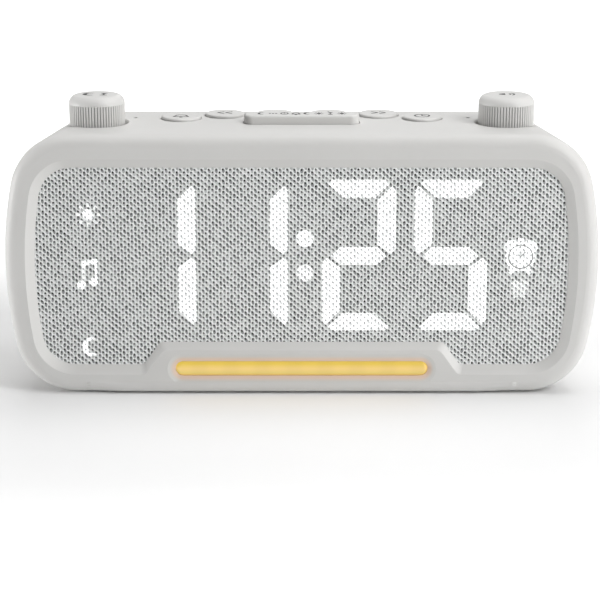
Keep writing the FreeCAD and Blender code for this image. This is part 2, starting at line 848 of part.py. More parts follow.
def night_light_board():
    half = size("bar_long") / 2 + 2.2
    y0 = cloth_front + 1.2 + size("tray_deep")
    low = size("bar_middle") - size("bar_high") / 2 - 2
    high = size("bar_middle") + size("bar_high") / 2 + 2
    strip = block("strip_board", -half, half, y0, y0 + 1.0, low, high)
    return node("night_light_board", strip)


def night_light_leds():
    y0 = cloth_front + 1.2 + size("tray_deep")
    count = 8
    step = size("bar_long") / count
    half = size("led_wide") / 2
    leds = []
    for i in range(count):
        x = step * (i + 0.5) - size("bar_long") / 2
        leds.append(block(f"strip_led_{i}", x - half, x + half, y0 - size("led_high"), y0,
                          size("bar_middle") - half * 0.6, size("bar_middle") + half * 0.6))
    return node("night_light_leds", group("strip_leds", *leds))


# Keys and snooze bar
def key(number, x, depth):
    """A round key: proud cap, flange that stops under the roof, and a stem over its switch."""
    body = new_body(f"key_{number}_body")
    sketch = upright_sketch(body, f"key_{number}_profile")
    r = size("key_wide") / 2
    cap = top + size("key_proud")
    wide = r + size("key_flange")
    draw_polygon(sketch, [(0, flange_bottom - 0.2), (2, flange_bottom - 0.2), (2, flange_bottom),
                          (wide, flange_bottom), (wide, flange_top), (r, flange_top), (r, cap - 0.5),
                          (r - 0.15, cap - 0.2), (r - 0.5, cap), (0, cap)])
    turn = body.newObject("PartDesign::Revolution", f"key_{number}_turn")
    turn.Profile = sketch
    turn.ReferenceAxis = (sketch, ["V_Axis"])
    turn.Angle = 360.0
    place(body, x, front + depth, as_dim(0))
    return node(f"key_{number}", body)


def snooze_bar():
    cap = top + size("snooze_proud")
    bar = rounded_plate("snooze_cap", as_dim(0), snooze_y, size("snooze_long") / 2, size("snooze_deep") / 2,
                        as_dim(3.1), flange_top - 0.5, cap)
    soft = round_edges("snooze_soft", bar, 0.9, on_plane("Z", cap))
    flange = rounded_plate("snooze_flange", as_dim(0), snooze_y, size("snooze_long") / 2 + size("key_flange"),
                           size("snooze_deep") / 2 + size("key_flange"), as_dim(3.6), flange_bottom, flange_top)
    stems = [rod(f"snooze_stem_{s}", 12.0 * s, snooze_y, flange_bottom - 0.2, 1.6, 0.4) for s in (-1, 1)]
    return node("snooze_bar", fuse("snooze", soft, flange, *stems))


def key_board():
    """The board under the roof that carries the switches and both encoders."""
    half = size("knob_place") + size("encoder_wide") / 2 + 2
    low = key_board_top - size("board_thick")
    plate = block("key_board_plate", -half, half, front + 13, front + 41.5, low, key_board_top)
    holes = [rod(f"key_board_hole_{i}", x, front + depth, low - 1, size("screw_wide") / 2 + 0.2, 4)
             for i, (x, depth) in enumerate(key_posts)]
    return node("key_board", cut("key_board_cut", plate, *holes))


def tact_switches():
    """Small square switches: one under each key and two under the snooze bar."""
    half = 3.0
    press = size("key_travel") + size("slide_gap")
    stem_top = flange_bottom - 0.2 - press
    places = [(x, front + depth, stem_top) for x, depth in KEY_PLACES]
    bar_stem = flange_bottom - 0.2 - size("snooze_travel") - size("slide_gap")
    places += [(12.0 * s, snooze_y, bar_stem) for s in (-1, 1)]
    switches = []
    for i, (x, y, level) in enumerate(places):
        case = block(f"switch_case_{i}", x - as_dim(half), x + as_dim(half), y - half, y + half,
                     key_board_top, key_board_top + 3.2)
        stem = rod(f"switch_stem_{i}", x, y, key_board_top + 3, 1.7, level - key_board_top - 3)
        switches.append(fuse(f"switch_{i}", case, stem))
    return node("tact_switches", group("switches", *switches))


# Knobs and their push encoders
spindle_radius = size("spindle_wide") / 2
encoder_top = key_board_top + size("encoder_high")
chamber_floor = key_board_top + 0.4
plate_low = chamber_floor + size("press_travel") + 0.2
plate_high = plate_low + 0.8
spindle_low = plate_high + size("running_gap")
knob_top = top + size("knob_proud")
knob_low = well_floor + size("press_travel") + size("slide_gap")


def knob(side, sign):
    """A skirted knob with a rounded top edge and fine flutes round its side."""
    body = new_body(side + "_knob_body")
    r = size("knob_wide") / 2
    soft = size("knob_round")
    sketch = upright_sketch(body, side + "_knob_profile")
    reach, peak, curve = float(r), float(knob_top), float(soft)
    hub = spindle_radius + 1.6
    bore = spindle_radius + size("running_gap") / 2
    crown = knob_top - 1.6
    corners = [(r, knob_top - soft), (r, knob_low), (r - 1.6, knob_low), (r - 1.6, crown), (hub, crown),
               (hub, knob_low + 1), (bore, knob_low + 1), (bore, crown - 0.8), (0, crown - 0.8), (0, knob_top),
               (r - soft, knob_top)]
    spots = [Vector(float(x), float(z), 0) for x, z in corners]
    for i in range(len(corners) - 1):
        sketch.addGeometry(Part.LineSegment(spots[i], spots[i + 1]), False)
    circle = Part.Circle(Vector(reach - curve, peak - curve, 0), Vector(0, 0, 1), curve)
    last = sketch.addGeometry(Part.ArcOfCircle(circle, 0, math.pi / 2), False)
    for i in range(len(corners) - 2):
        sketch.addConstraint(Sketcher.Constraint("Coincident", i, 2, i + 1, 1))
    sketch.addConstraint(Sketcher.Constraint("Coincident", last - 1, 2, last, 2))
    sketch.addConstraint(Sketcher.Constraint("Coincident", 0, 1, last, 1))
    for i, (x, z) in enumerate(corners[:-1]):
        hold(sketch, "DistanceX", -1, 1, i, 1, x)
        hold(sketch, "DistanceY", -1, 1, i, 1, z)
    hold(sketch, "DistanceX", -1, 1, last, 3, r - soft)
    hold(sketch, "DistanceY", -1, 1, last, 3, knob_top - soft)
    turn = body.newObject("PartDesign::Revolution", side + "_knob_turn")
    turn.Profile = sketch
    turn.ReferenceAxis = (sketch, ["V_Axis"])
    turn.Angle = 360.0
    doc.recompute()
    before = turn.Shape.Volume
    flute = level_sketch(body, side + "_flute_sketch", knob_low)
    deep = size("flute_deep")
    draw_polygon(flute, [(r + deep, -deep * 1.7), (r + deep, deep * 1.7), (r - deep, 0)])
    groove = body.newObject("PartDesign::Pocket", side + "_flute")
    groove.Profile = flute
    groove.Reversed = True
    bind(groove, "Length", knob_top - size("flute_end") - knob_low)
    ring = body.newObject("PartDesign::PolarPattern", side + "_flutes")
    ring.Originals = [groove]
    ring.Axis = (flute, ["N_Axis"])
    ring.Angle = 360.0
    ring.Occurrences = 60
    body.Tip = ring
    doc.recompute()
    if ring.Shape.Volume >= before:
        raise RuntimeError("the flutes cut nothing")
    place(body, knob_x(sign), knob_y, as_dim(0))
    return node(side + "_knob", body)


def encoder(side, sign):
    """Case with a threaded neck, a push plate in its chamber, and the spindle that turns and presses."""
    x = knob_x(sign)
    half = size("encoder_wide") / 2
    case = block(side + "_case", x - half, x + half, knob_y - half, knob_y + half, key_board_top, encoder_top)
    neck = rod(side + "_neck", x, knob_y, encoder_top - 0.5, bush_radius, well_floor - encoder_top + 0.5)
    chamber = rod(side + "_chamber", x, knob_y, chamber_floor, 3.6, plate_high + 0.3 - chamber_floor)
    bore = rod(side + "_bore", x, knob_y, chamber_floor, spindle_radius + size("running_gap"), 20)
    node(side + "_encoder_case", cut(side + "_encoder_cut", fuse(side + "_encoder_solid", case, neck), chamber, bore))
    node(side + "_push_plate", rod(side + "_plate", x, knob_y, plate_low, 3.3, 0.8))
    node(side + "_spindle", rod(side + "_shaft", x, knob_y, spindle_low, spindle_radius,
                                knob_top - 1.6 - 0.8 - 0.1 - spindle_low))


# Main board and its sockets
socket_mouth = rear - 0.4


def main_board():
    low = main_board_top - size("board_thick")
    plate = block("main_board_plate", -6, 70, front + 22, cover_inside - 1, low, main_board_top)
    holes = [rod(f"main_hole_{i}", x, front + depth, low - 1, size("screw_wide") / 2 + 0.2, 4)
             for i, (x, depth) in enumerate(board_posts)]
    return node("main_board", cut("main_board_cut", plate, *holes))


SOCKETS = {"power_inlet": (12.0, 9.0, 3.3, 7.4), "charging_socket": (31.0, 13.2, 5.8, 14.0)}


def flat_socket(name):
    """A pressed-metal socket with a tongue inside, on the edge of the main board."""
    x, wide, high, long = SOCKETS[name]
    half = wide / 2
    skin = 0.35
    base = main_board_top
    case = block(name + "_case", x - half, x + half, socket_mouth - long, socket_mouth, base, base + high)
    mouth = block(name + "_mouth", x - half + skin, x + half - skin, socket_mouth - long + 1, socket_mouth + 1,
                  base + skin, base + high - skin)
    thick = high * 0.28
    tongue_low = base + high / 2 - thick / 2
    tongue = block(name + "_tongue", x - half * 0.72, x + half * 0.72, socket_mouth - long + 0.5,
                   socket_mouth - 1.2, tongue_low, tongue_low + thick)
    return node(name, fuse(name + "_whole", cut(name + "_shell", case, mouth), tongue))


audio_x = 52.0
audio_level = main_board_top + 3.2


def audio_socket():
    case = block("audio_case", audio_x - 3.5, audio_x + 3.5, cover_inside - 13.5, cover_inside - 0.3,
                 main_board_top, main_board_top + 6.2)
    nose = rod("audio_nose", audio_x, cover_inside - 1, audio_level, 2.8, socket_mouth - cover_inside + 1, "Y")
    bore = rod("audio_bore_cut", audio_x, socket_mouth - size("audio_deep"), audio_level, size("audio_bore") / 2,
               size("audio_deep") + 1, "Y")
    return node("audio_socket", cut("audio_cut", fuse("audio_solid", case, nose), bore))


# Rear cover, cell bay and door
def bay_box(name, half, y0, y1):
    x = size("bay_place")
    z = size("bay_rise")
    return block(name, x - half, x + half, y0, y1, z - half, z + half)


bay_floor = rear - size("door_thick") - size("cell_thick") - 1.2


def rear_cover():
    rear_half = block("rear_half", -size("width"), size("width"), parting, rear + 10, -10, top + 40)
    shell = common("cover_shell", doc.getObject("whole_shell"), rear_half)
    lip_inset = size("wall") + size("slide_gap") / 2
    wide = size("width")
    ring = common("lip_ring", cavity_form("lip_outer", lip_inset),
                  block("lip_slab", -wide, wide, parting - size("lip_height"), parting + 0.1, -10, top + 40))
    root = common("lip_root", cavity_form("root_outer", size("wall") - 0.5),
                  block("root_slab", -wide, wide, parting, parting + 2, -10, top + 40))
    lip = cut("cover_lip", fuse("lip_and_root", ring, root), cavity_form("lip_inner", lip_inset + size("lip_wall")))
    inside = [bay_box("bay_walls", size("door_wide") / 2 + 1.5, bay_floor - 1.5, rear - 1)]
    speaker_ring = rod("speaker_ring", -size("speaker_place"), cover_inside - 0.4, size("speaker_rise"),
                       size("speaker_wide") / 2 + 1.5, 1.4, "Y")
    inside.append(speaker_ring)
    tools = [bay_box("door_rebate", size("door_wide") / 2 + size("slide_gap"), rear - size("door_thick"), rear + 5),
             rod("cell_bay", size("bay_place"), bay_floor, size("bay_rise"), size("cell_wide") / 2 + 0.5, 12, "Y")]
    for s in (-1, 1):
        for i, level in enumerate(boss_levels):
            x = boss_x * s
            inside.append(rod(f"cover_post_{s}_{i}", x, parting - 0.6, level, size("boss_wide") / 2,
                              cover_inside + 1 - parting, "Y"))
            tools.append(rod(f"cover_hole_{s}_{i}", x, parting - 3, level, size("screw_wide") / 2 + 0.2, 30, "Y"))
            tools.append(rod(f"cover_sink_{s}_{i}", x, parting + 6, level, size("screw_head") / 2 + 0.4, 20, "Y"))
    for name, (x, wide, high, long) in SOCKETS.items():
        tools.append(block(name + "_gate", x - wide / 2 - 0.3, x + wide / 2 + 0.3, cover_inside - 3, rear + 3,
                           main_board_top - 0.3, main_board_top + high + 0.3))
    tools.append(rod("audio_gate", audio_x, cover_inside - 3, audio_level, 3.1, 9, "Y"))
    tools.append(grille_slots())
    body = fuse("cover_solid", shell, lip, common("cover_inside_trim", fuse("cover_parts", *inside),
                                                  doc.getObject("outer_form")))
    return node("rear_cover", cut("cover_cut", body, *tools))


def grille_slots():
    """Level slots in front of the loudspeaker, cut off by its round outline."""
    slots = []
    reach = size("speaker_wide") / 2 - 3.0
    for i in range(-3, 4):
        away = size("grille_pitch") * i
        half = math.sqrt(float(reach) ** 2 - float(away) ** 2)
        slots.append(pill(f"grille_{i}", -size("speaker_place"), size("speaker_rise") + away,
                          reach * (2 * half / float(reach)), size("grille_slot"), cover_inside - 3, rear + 1))
    return fuse("grille", *slots)


def battery_door():
    half = size("door_wide") / 2
    plate = bay_box("door_plate", half, rear - size("door_thick") + 0.05, rear - 0.1)
    ribs = [block(f"door_rib_{i}", size("bay_place") - 5, size("bay_place") + 5, rear - 0.3, rear,
                  size("bay_rise") + half - 6 + i * 1.5, size("bay_rise") + half - 5.3 + i * 1.5) for i in range(3)]
    return node("battery_door", fuse("door", plate, *ribs))


def backup_cell():
    y = bay_floor + 0.6
    return node("backup_cell", rod("cell", size("bay_place"), y, size("bay_rise"), size("cell_wide") / 2,
                                   size("cell_thick"), "Y"))


def cell_contacts():
    x = size("bay_place")
    z = size("bay_rise")
    under = block("contact_under", x - 4, x + 4, bay_floor, bay_floor + 0.6, z - 7, z + 7)
    return node("cell_contact", under)


# Loudspeaker, which faces the back through the grille
def turned(name, outline):
    """A solid of revolution about the loudspeaker's axis, from an outline of radius and depth."""
    body = new_body(name + "_body")
    sketch = level_sketch(body, name + "_profile")
    draw_polygon(sketch, outline)
    turn = body.newObject("PartDesign::Revolution", name + "_turn")
    turn.Profile = sketch
    turn.ReferenceAxis = (sketch, ["V_Axis"])
    turn.Angle = 360.0
    place(body, -size("speaker_place"), as_dim(0), size("speaker_rise"))
    return node(name, body)


def loudspeaker():
    r = size("speaker_wide") / 2
    seat = cover_inside - 0.4
    gasket = seat - 1.0
    rim = gasket - 1.0
    heel = rim - 9
    turned("speaker_gasket", [(r - 2.2, gasket), (r, gasket), (r, seat), (r - 2.2, seat)])
    turned("speaker_basket", [(r - 2.2, gasket), (r, gasket), (r, rim), (r - 1.2, rim), (r * 0.64, heel),
                              (r * 0.3, heel), (r * 0.3, heel + 1), (r * 0.6, heel + 1), (r - 2.2, rim)])
    turned("speaker_magnet", [(0, heel - 7), (r * 0.6, heel - 7), (r * 0.6, heel), (0, heel)])
    turned("speaker_surround", [(r - 5.4, rim + 0.2), (r - 5, rim + 0.2), (r - 3.9, rim + 0.7),
                                (r - 2.8, rim + 0.2), (r - 2.3, rim + 0.2), (r - 2.3, rim + 0.9),
                                (r - 2.8, rim + 0.9), (r - 3.9, rim + 1.3), (r - 5, rim + 0.9),
                                (r - 5.4, rim + 0.9)])
    turned("speaker_cone", [(0, heel + 2.2), (r * 0.28, heel + 2.2), (r - 5.5, rim + 0.2), (r - 5.5, rim + 0.8),
                            (r * 0.28, heel + 3.0), (r * 0.22, heel + 4.2), (r * 0.1, heel + 4.8),
                            (0, heel + 4.8)])


# Fasteners, feet and small trim
def screw(name, x, y, z, length, axis, flip):
    """A pan-head screw whose head rests at x, y, z; flip sends the shank the other way."""
    head = 1.4
    shank = size("screw_wide") / 2
    if axis == "Y":
        body = rod(name + "_shank", x, y - length, z, shank, length, "Y")
        cap = rod(name + "_head", x, y, z, size("screw_head") / 2, head, "Y")
    elif flip:
        body = rod(name + "_shank", x, y, z, shank, length)
        cap = rod(name + "_head", x, y, z - head, size("screw_head") / 2, head)
    else:
        body = rod(name + "_shank", x, y, z - length, shank, length)
        cap = rod(name + "_head", x, y, z, size("screw_head") / 2, head)
    return fuse(name, body, cap)


def fasteners():
    cover = [screw(f"cover_screw_{s}_{i}", boss_x * s, parting + 6, level, 14, "Y", False)
             for s in (-1, 1) for i, level in enumerate(boss_levels)]
    node("cover_screws", group("cover_screw_set", *cover))
    low = key_board_top - size("board_thick")
    keys = [screw(f"key_screw_{i}", x, front + depth, low, 5.5, "Z", True) for i, (x, depth) in enumerate(key_posts)]
    node("key_board_screws", group("key_screw_set", *keys))
    main = [screw(f"main_screw_{i}", x, front + depth, main_board_top, 7, "Z", False)
            for i, (x, depth) in enumerate(board_posts)]
    node("main_board_screws", group("main_screw_set", *main))


def feet():
    pads = []
    for sx in (-1, 1):
        for depth in (12.0, 39.5):
            pads.append(rod(f"foot_{sx}_{int(depth)}", size("foot_place") * sx, front + depth, as_dim(0),
                            size("foot_wide") / 2, size("foot_height")))
    return node("feet", group("foot_set", *pads))


def sensor_lenses():
    pins = [rod(f"lens_{i}", x, sensor_y, roof, 0.75, size("wall") - 0.1) for i, x in enumerate(sensor_places)]
    return node("sensor_lenses", group("lens_set", *pins))


def build():
    housing()
    rear_cover()
    speaker_cloth()
    cloth_carrier()
    segment_diffusers()
    display_light_box()
    display_board()
    display_leds()
    night_light_lens()
    night_light_tray()
    night_light_board()
    night_light_leds()
    for number, (x, depth) in enumerate(KEY_PLACES, start=1):
        key(number, x, depth)
    snooze_bar()
    key_board()
    tact_switches()
    for side, sign in (("left", -1), ("right", 1)):
        knob(side, sign)
        encoder(side, sign)
    main_board()
    for name in SOCKETS:
        flat_socket(name)
    audio_socket()
    battery_door()
    backup_cell()
    cell_contacts()
    loudspeaker()
    fasteners()
    feet()
    sensor_lenses()


def check_all():
    """Stop before anything is written if an object failed or a shape is not sound."""
    doc.recompute()
    for thing in doc.Objects:
        if "Invalid" in thing.State or "Error" in thing.State:
            raise RuntimeError(f"{thing.Label} failed: {thing.State}")
    for name, thing in NODES.items():
        if thing.Shape.isNull() or not thing.Shape.isValid():
            raise RuntimeError(f"{name} has no sound shape")


def write_all():
    os.makedirs("parts", exist_ok=True)
    for name, thing in NODES.items():
        thing.Shape.exportStep(f"parts/{name}.step")
        box = thing.Shape.BoundBox
        print(f"{name}: {len(thing.Shape.Solids)} solids, x {box.XMin:.2f} {box.XMax:.2f}, "
              f"y {box.YMin:.2f} {box.YMax:.2f}, z {box.ZMin:.2f} {box.ZMax:.2f}")


build()
check_all()
write_all()
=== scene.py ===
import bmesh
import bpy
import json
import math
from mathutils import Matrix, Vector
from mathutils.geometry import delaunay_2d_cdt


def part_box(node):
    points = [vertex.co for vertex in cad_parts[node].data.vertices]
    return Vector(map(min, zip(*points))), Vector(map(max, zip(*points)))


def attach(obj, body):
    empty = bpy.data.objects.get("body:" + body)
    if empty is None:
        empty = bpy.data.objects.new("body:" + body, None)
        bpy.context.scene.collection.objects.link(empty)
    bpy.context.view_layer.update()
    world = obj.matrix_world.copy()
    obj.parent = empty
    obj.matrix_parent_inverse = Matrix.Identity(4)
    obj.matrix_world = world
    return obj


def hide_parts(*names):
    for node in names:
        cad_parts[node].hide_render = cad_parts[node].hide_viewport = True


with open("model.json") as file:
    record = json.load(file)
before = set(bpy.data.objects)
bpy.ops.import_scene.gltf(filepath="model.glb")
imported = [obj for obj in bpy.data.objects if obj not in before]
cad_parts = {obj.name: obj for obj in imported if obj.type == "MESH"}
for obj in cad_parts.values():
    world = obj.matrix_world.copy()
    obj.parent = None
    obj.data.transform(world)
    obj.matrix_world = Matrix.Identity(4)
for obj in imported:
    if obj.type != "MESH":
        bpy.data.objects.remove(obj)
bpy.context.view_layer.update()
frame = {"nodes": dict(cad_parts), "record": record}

# %% [markdown]
# # A bedside alarm clock
#
# The clock is a white moulded shell with a knitted cloth front. Digits shine through the cloth, a
# warm night-light bar sits in the chin, and keys, a snooze bar and two fluted knobs stand on the
# top. The packed CAD model is the frame: every rigid piece stays where it is, and this lesson
# gives it its finish, its cloth, its lit signs and its light.

MM = 0.001
nodes = frame["nodes"]

# %% [markdown]
# ## The camera
#
# A product photograph is taken with a long lens from a little above the front. The distance and
# the height come from where the top face, the window and the knobs meet in the picture, so the
# camera is set first and nothing is bent to suit it later.

# %% Camera
CAMERA_AWAY = 648 * MM
CAMERA_HIGH = 212.4 * MM
CAMERA_SIDE = -0.57 * MM
CAMERA_PITCH = 15.44
CAMERA_LENS = 120
CAMERA_SENSOR = 36

front_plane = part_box("housing")[0].y
camera_data = bpy.data.cameras.new("front_camera")
camera_data.lens = CAMERA_LENS
camera_data.sensor_width = CAMERA_SENSOR
camera = bpy.data.objects.new("front_camera", camera_data)
camera.location = (CAMERA_SIDE, front_plane - CAMERA_AWAY, CAMERA_HIGH)
camera.rotation_euler = (math.radians(90 - CAMERA_PITCH), 0, 0)
bpy.context.scene.collection.objects.link(camera)
bpy.context.scene.camera = camera
print("camera at", tuple(round(c, 4) for c in camera.location))

# %% [markdown] ## A small kit for node materials  Every finish here is worked out by shader nodes
# from the object's own coordinates, so it needs no picture and no unwrapping.


# %% Shader kit
class Graph:
    """One material and short ways to add nodes to it."""

    def __init__(self, name):
        self.material = bpy.data.materials.new(name)
        self.material.use_nodes = True
        self.tree = self.material.node_tree
        self.shader = self.tree.nodes["Principled BSDF"]

    def add(self, kind, **settings):
        """A new node of this kind, with its settings."""
        node = self.tree.nodes.new(kind)
        for key, value in settings.items():
            setattr(node, key, value)
        return node

    def feed(self, socket, value):
        """A link where the value comes from a node, and a constant where it is a number."""
        if isinstance(value, bpy.types.NodeSocket):
            self.tree.links.new(value, socket)
        else:
            socket.default_value = value

    def math(self, operation, first, second=0.0, third=0.0):
        """One sum of up to three values."""
        node = self.add("ShaderNodeMath", operation=operation)
        for socket, value in zip(node.inputs, (first, second, third)):
            self.feed(socket, value)
        return node.outputs[0]

    def ramp(self, value, low, high, out_low=0.0, out_high=1.0, smooth=True):
        """A value carried from one range to another, and held at its ends."""
        node = self.add("ShaderNodeMapRange")
        node.interpolation_type = "SMOOTHSTEP" if smooth else "LINEAR"
        for socket, number in zip(node.inputs[:5], (value, low, high, out_low, out_high)):
            self.feed(socket, number)
        return node.outputs[0]

    def place(self):
        """The point on the object, in metres, and its three parts."""
        point = self.add("ShaderNodeTexCoord").outputs["Object"]
        split = self.add("ShaderNodeSeparateXYZ")
        self.feed(split.inputs[0], point)
        return point, split.outputs

    def length(self, across, up):
        """The length of a step across and up."""
        return self.math("SQRT", self.math("ADD", self.math("MULTIPLY", across, across),
                                           self.math("MULTIPLY", up, up)))

    def beyond(self, value, edge):
        """How far a value lies past an edge on either side of 0, and 0 between them."""
        return self.math("MAXIMUM", self.math("SUBTRACT", self.math("ABSOLUTE", value), edge), 0.0)

    def noise(self, point, scale, detail=2.0, roughness=0.5):
        """Soft noise, with this many waves to a metre."""
        node = self.add("ShaderNodeTexNoise")
        self.feed(node.inputs["Vector"], point)
        node.inputs["Scale"].default_value = scale
        node.inputs["Detail"].default_value = detail
        node.inputs["Roughness"].default_value = roughness
        return node.outputs["Fac"]

    def mix(self, share, first, second):
        """A blend of two colours."""
        node = self.add("ShaderNodeMix", data_type="RGBA")
        self.feed(node.inputs["Factor"], share)
        for socket, value in ((node.inputs[6], first), (node.inputs[7], second)):
            self.feed(socket, (*value, 1.0) if isinstance(value, tuple) else value)
        return node.outputs[2]

    def stops(self, value, *places):
        """A colour that runs through stops, each with its place from 0 to 1."""
        node = self.add("ShaderNodeValToRGB")
        ends = node.color_ramp.elements
        ends[0].position, ends[1].position = places[0][0], places[-1][0]
        ends[0].color, ends[1].color = (*places[0][1], 1), (*places[-1][1], 1)
        for place, colour in places[1:-1]:
            ends.new(place).color = (*colour, 1)
        self.feed(node.inputs[0], value)
        return node.outputs[0]

    def bump(self, height, depth, strength=1.0):
        """Small relief on the finish, from a height between 0 and 1."""
        node = self.add("ShaderNodeBump")
        node.inputs["Strength"].default_value = strength
        node.inputs["Distance"].default_value = depth
        self.feed(node.inputs["Height"], height)
        self.feed(self.shader.inputs["Normal"], node.outputs["Normal"])

    def set(self, **inputs):
        """Values of the shader by name, with a low line for each space."""
        for name, value in inputs.items():
            socket = self.shader.inputs[name.replace("_", " ")]
            if isinstance(value, tuple):
                value = (*value, 1.0)
            self.feed(socket, value)


def tint(colour, factor):
    """A colour made lighter or darker."""
    return tuple(part * factor for part in colour)


print("short ways in the kit:", sum(1 for name in vars(Graph) if not name.startswith("_")))


# %% [markdown]
# ## Moulded plastic
#
# The shell is matt injection-moulded plastic. Up close such a surface has a fine spark-eroded grain
# that breaks up the shine, and a very slight cloudiness in its colour. Two noises do it: a fine one
# for the grain, in bump and roughness, and a wide faint one for the cloudiness.


# %% Plastic, metal and board
CLOUDS_PER_METRE = 28.0
BRUSH_PER_METRE = 900.0
TRACKS_PER_METRE = 260.0


def moulded(name, colour, rough, grain=0.00035, depth=0.000012, cloud=0.03, coat=0.0):
    """Plastic, rubber, foam or ink: a grain so many metres wide, so deep, and a faint cloud."""
    graph = Graph(name)
    point = graph.place()[0]
    fine = graph.noise(point, 1.0 / grain, 3.0, 0.6)
    wide = graph.noise(point, CLOUDS_PER_METRE, 2.0)
    graph.set(Base_Color=graph.mix(wide, tint(colour, 1 - cloud), tint(colour, 1 + cloud)),
              Roughness=graph.ramp(fine, 0.3, 0.7, rough - 0.05, rough + 0.05),
              Coat_Weight=coat)
    graph.bump(fine, depth)
    return graph


def metal(name, colour, rough, along=(1.0, 1.0, 40.0)):
    """Brushed metal: noise pulled out along one direction."""
    graph = Graph(name)
    point = graph.place()[0]
    stretch = graph.add("ShaderNodeMapping")
    stretch.inputs["Scale"].default_value = along
    graph.feed(stretch.inputs["Vector"], point)
    lines = graph.noise(stretch.outputs[0], BRUSH_PER_METRE, 4.0, 0.7)
    graph.set(Base_Color=graph.mix(lines, tint(colour, 0.85), colour), Metallic=1.0,
              Roughness=graph.ramp(lines, 0.3, 0.7, rough - 0.06, rough + 0.1))
    graph.bump(lines, 0.00001)
    return graph


def circuit(name):
    """Green solder mask with paler tracks under it."""
    graph = Graph(name)
    point = graph.place()[0]
    cells = graph.add("ShaderNodeTexVoronoi", distance="CHEBYCHEV", feature="DISTANCE_TO_EDGE")
    graph.feed(cells.inputs["Vector"], point)
    cells.inputs["Scale"].default_value = TRACKS_PER_METRE
    tracks = graph.ramp(cells.outputs["Distance"], 0.05, 0.09)
    graph.set(Base_Color=graph.mix(tracks, (0.03, 0.2, 0.09), (0.012, 0.1, 0.045)), Roughness=0.32)
    graph.bump(tracks, 0.00003)
    return graph


print("ways to make a finish: moulded, metal and circuit")

# %% [markdown]
# ## One finish for each material slot
#
# The shell, the cover and the keys are the same white plastic, but a key is polished a little
# smoother than the shell. So each finish is one line: a colour, how rough it is and its grain.

# %% Finishes of the plain slots
SHELL = (0.66, 0.655, 0.64)
finishes = {
    "white_cover": moulded("white_cover", tint(SHELL, 0.98), 0.55),
    "white_key": moulded("white_key", tint(SHELL, 1.02), 0.42, grain=0.0006, depth=0.000004),
    "white_reflector": moulded("white_reflector", (0.8, 0.8, 0.79), 0.3, cloud=0.01),
    "black_plastic": moulded("black_plastic", (0.018, 0.018, 0.019), 0.5),
    "black_foam": moulded("black_foam", (0.02, 0.02, 0.02), 0.9, grain=0.0008, depth=0.0002),
    "cone_paper": moulded("cone_paper", (0.045, 0.043, 0.04), 0.85, grain=0.0009, depth=0.00008),
    "grey_rubber": moulded("grey_rubber", (0.16, 0.16, 0.16), 0.8, grain=0.0005, depth=0.00003),
    "smoked_lens": moulded("smoked_lens", (0.02, 0.02, 0.022), 0.12, coat=0.5),
    "led_package": moulded("led_package", (0.8, 0.72, 0.35), 0.3),
    "bright_metal": metal("bright_metal", (0.62, 0.62, 0.6), 0.25),
    "magnet_steel": metal("magnet_steel", (0.3, 0.3, 0.31), 0.35),
    "screw_steel": metal("screw_steel", (0.09, 0.09, 0.1), 0.35),
    "circuit_board": circuit("circuit_board"),
}
print("plain finishes:", len(finishes))

# %% [markdown]
# ## Knobs and shell
#
# Two whites need more. The flutes of a knob are so fine that their roots hold shade, and that shade
# is painted into the knob's colour there. The shell gets a painted warm spill of the night light, in
# its colour and a faint glow, in the dish round the bar. Both are worked out from the point's
# distance, from the knob's axis and from the bar, so they stay where they belong.

# %% Fluted knobs with painted shade, and the shell with painted spill light
FLUTE_ROOT = 0.42 * MM
FLUTE_CREST = 0.05 * MM
FLUTES_START = 3.3 * MM
FLUTES_FULL = 2.9 * MM
PAINTED_FLUTE_SHADE = 0.45
LENS_FLANGE = 1.5 * MM
SPILL_NEAR = 0.7 * MM
SPILL_FAR = 2.3 * MM
SPILL_DEEP = (2 * MM, 4 * MM)
PAINTED_SPILL_COLOUR = (0.70, 0.58, 0.50)
PAINTED_SPILL_GLOW = 0.06


def fluted(name, node):
    """Knob plastic with a little shade painted into the roots of its flutes."""
    graph = moulded(name, SHELL, 0.45, grain=0.0006, depth=0.000004)
    parts = graph.place()[1]
    low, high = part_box(node)
    reach = graph.length(graph.math("SUBTRACT", parts["X"], (low.x + high.x) / 2),
                         graph.math("SUBTRACT", parts["Y"], (low.y + high.y) / 2))
    outside = (high.x - low.x) / 2
    root = graph.ramp(reach, outside - FLUTE_ROOT, outside - FLUTE_CREST, 1.0, 0.0)
    skirt = graph.ramp(parts["Z"], high.z - FLUTES_START, high.z - FLUTES_FULL, 1.0, 0.0)
    plain = graph.shader.inputs["Base Color"].links[0].from_socket
    # Painted shade: the colour darkens towards the flute roots on the fluted skirt.
    shade = graph.math("MULTIPLY", root, skirt)
    graph.set(Base_Color=graph.mix(shade, plain, tint(SHELL, PAINTED_FLUTE_SHADE)))
    return graph


def shell_with_painted_spill():
    """The shell, with the night light's warm spill painted into its colour and a faint glow round the
    bar.
    """
    graph = moulded("white_shell", SHELL, 0.52)
    parts = graph.place()[1]
    low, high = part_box("night_light_lens")
    half_high = (high.z - low.z) / 2 - LENS_FLANGE
    straight = (high.x - low.x) / 2 - LENS_FLANGE - half_high
    up = graph.math("SUBTRACT", parts["Z"], (low.z + high.z) / 2)
    reach = graph.length(graph.beyond(parts["X"], straight), up)
    spill = graph.ramp(reach, half_high + SPILL_NEAR, half_high + SPILL_FAR, 1.0, 0.0)
    at_front = graph.ramp(parts["Y"], *(front_plane + deep for deep in SPILL_DEEP), 1.0, 0.0)
    spill = graph.math("MULTIPLY", spill, at_front)
    plain = graph.shader.inputs["Base Color"].links[0].from_socket
    # Painted light: near the bar the colour turns warm and the shell glows faintly, standing in for
    # the night light's spill.
    graph.set(Base_Color=graph.mix(spill, plain, PAINTED_SPILL_COLOUR), Emission_Color=(1.0, 0.45, 0.2),
              Emission_Strength=graph.math("MULTIPLY", spill, PAINTED_SPILL_GLOW))
    return graph


finishes["white_shell"] = shell_with_painted_spill()
print("finishes with the shell:", len(finishes))

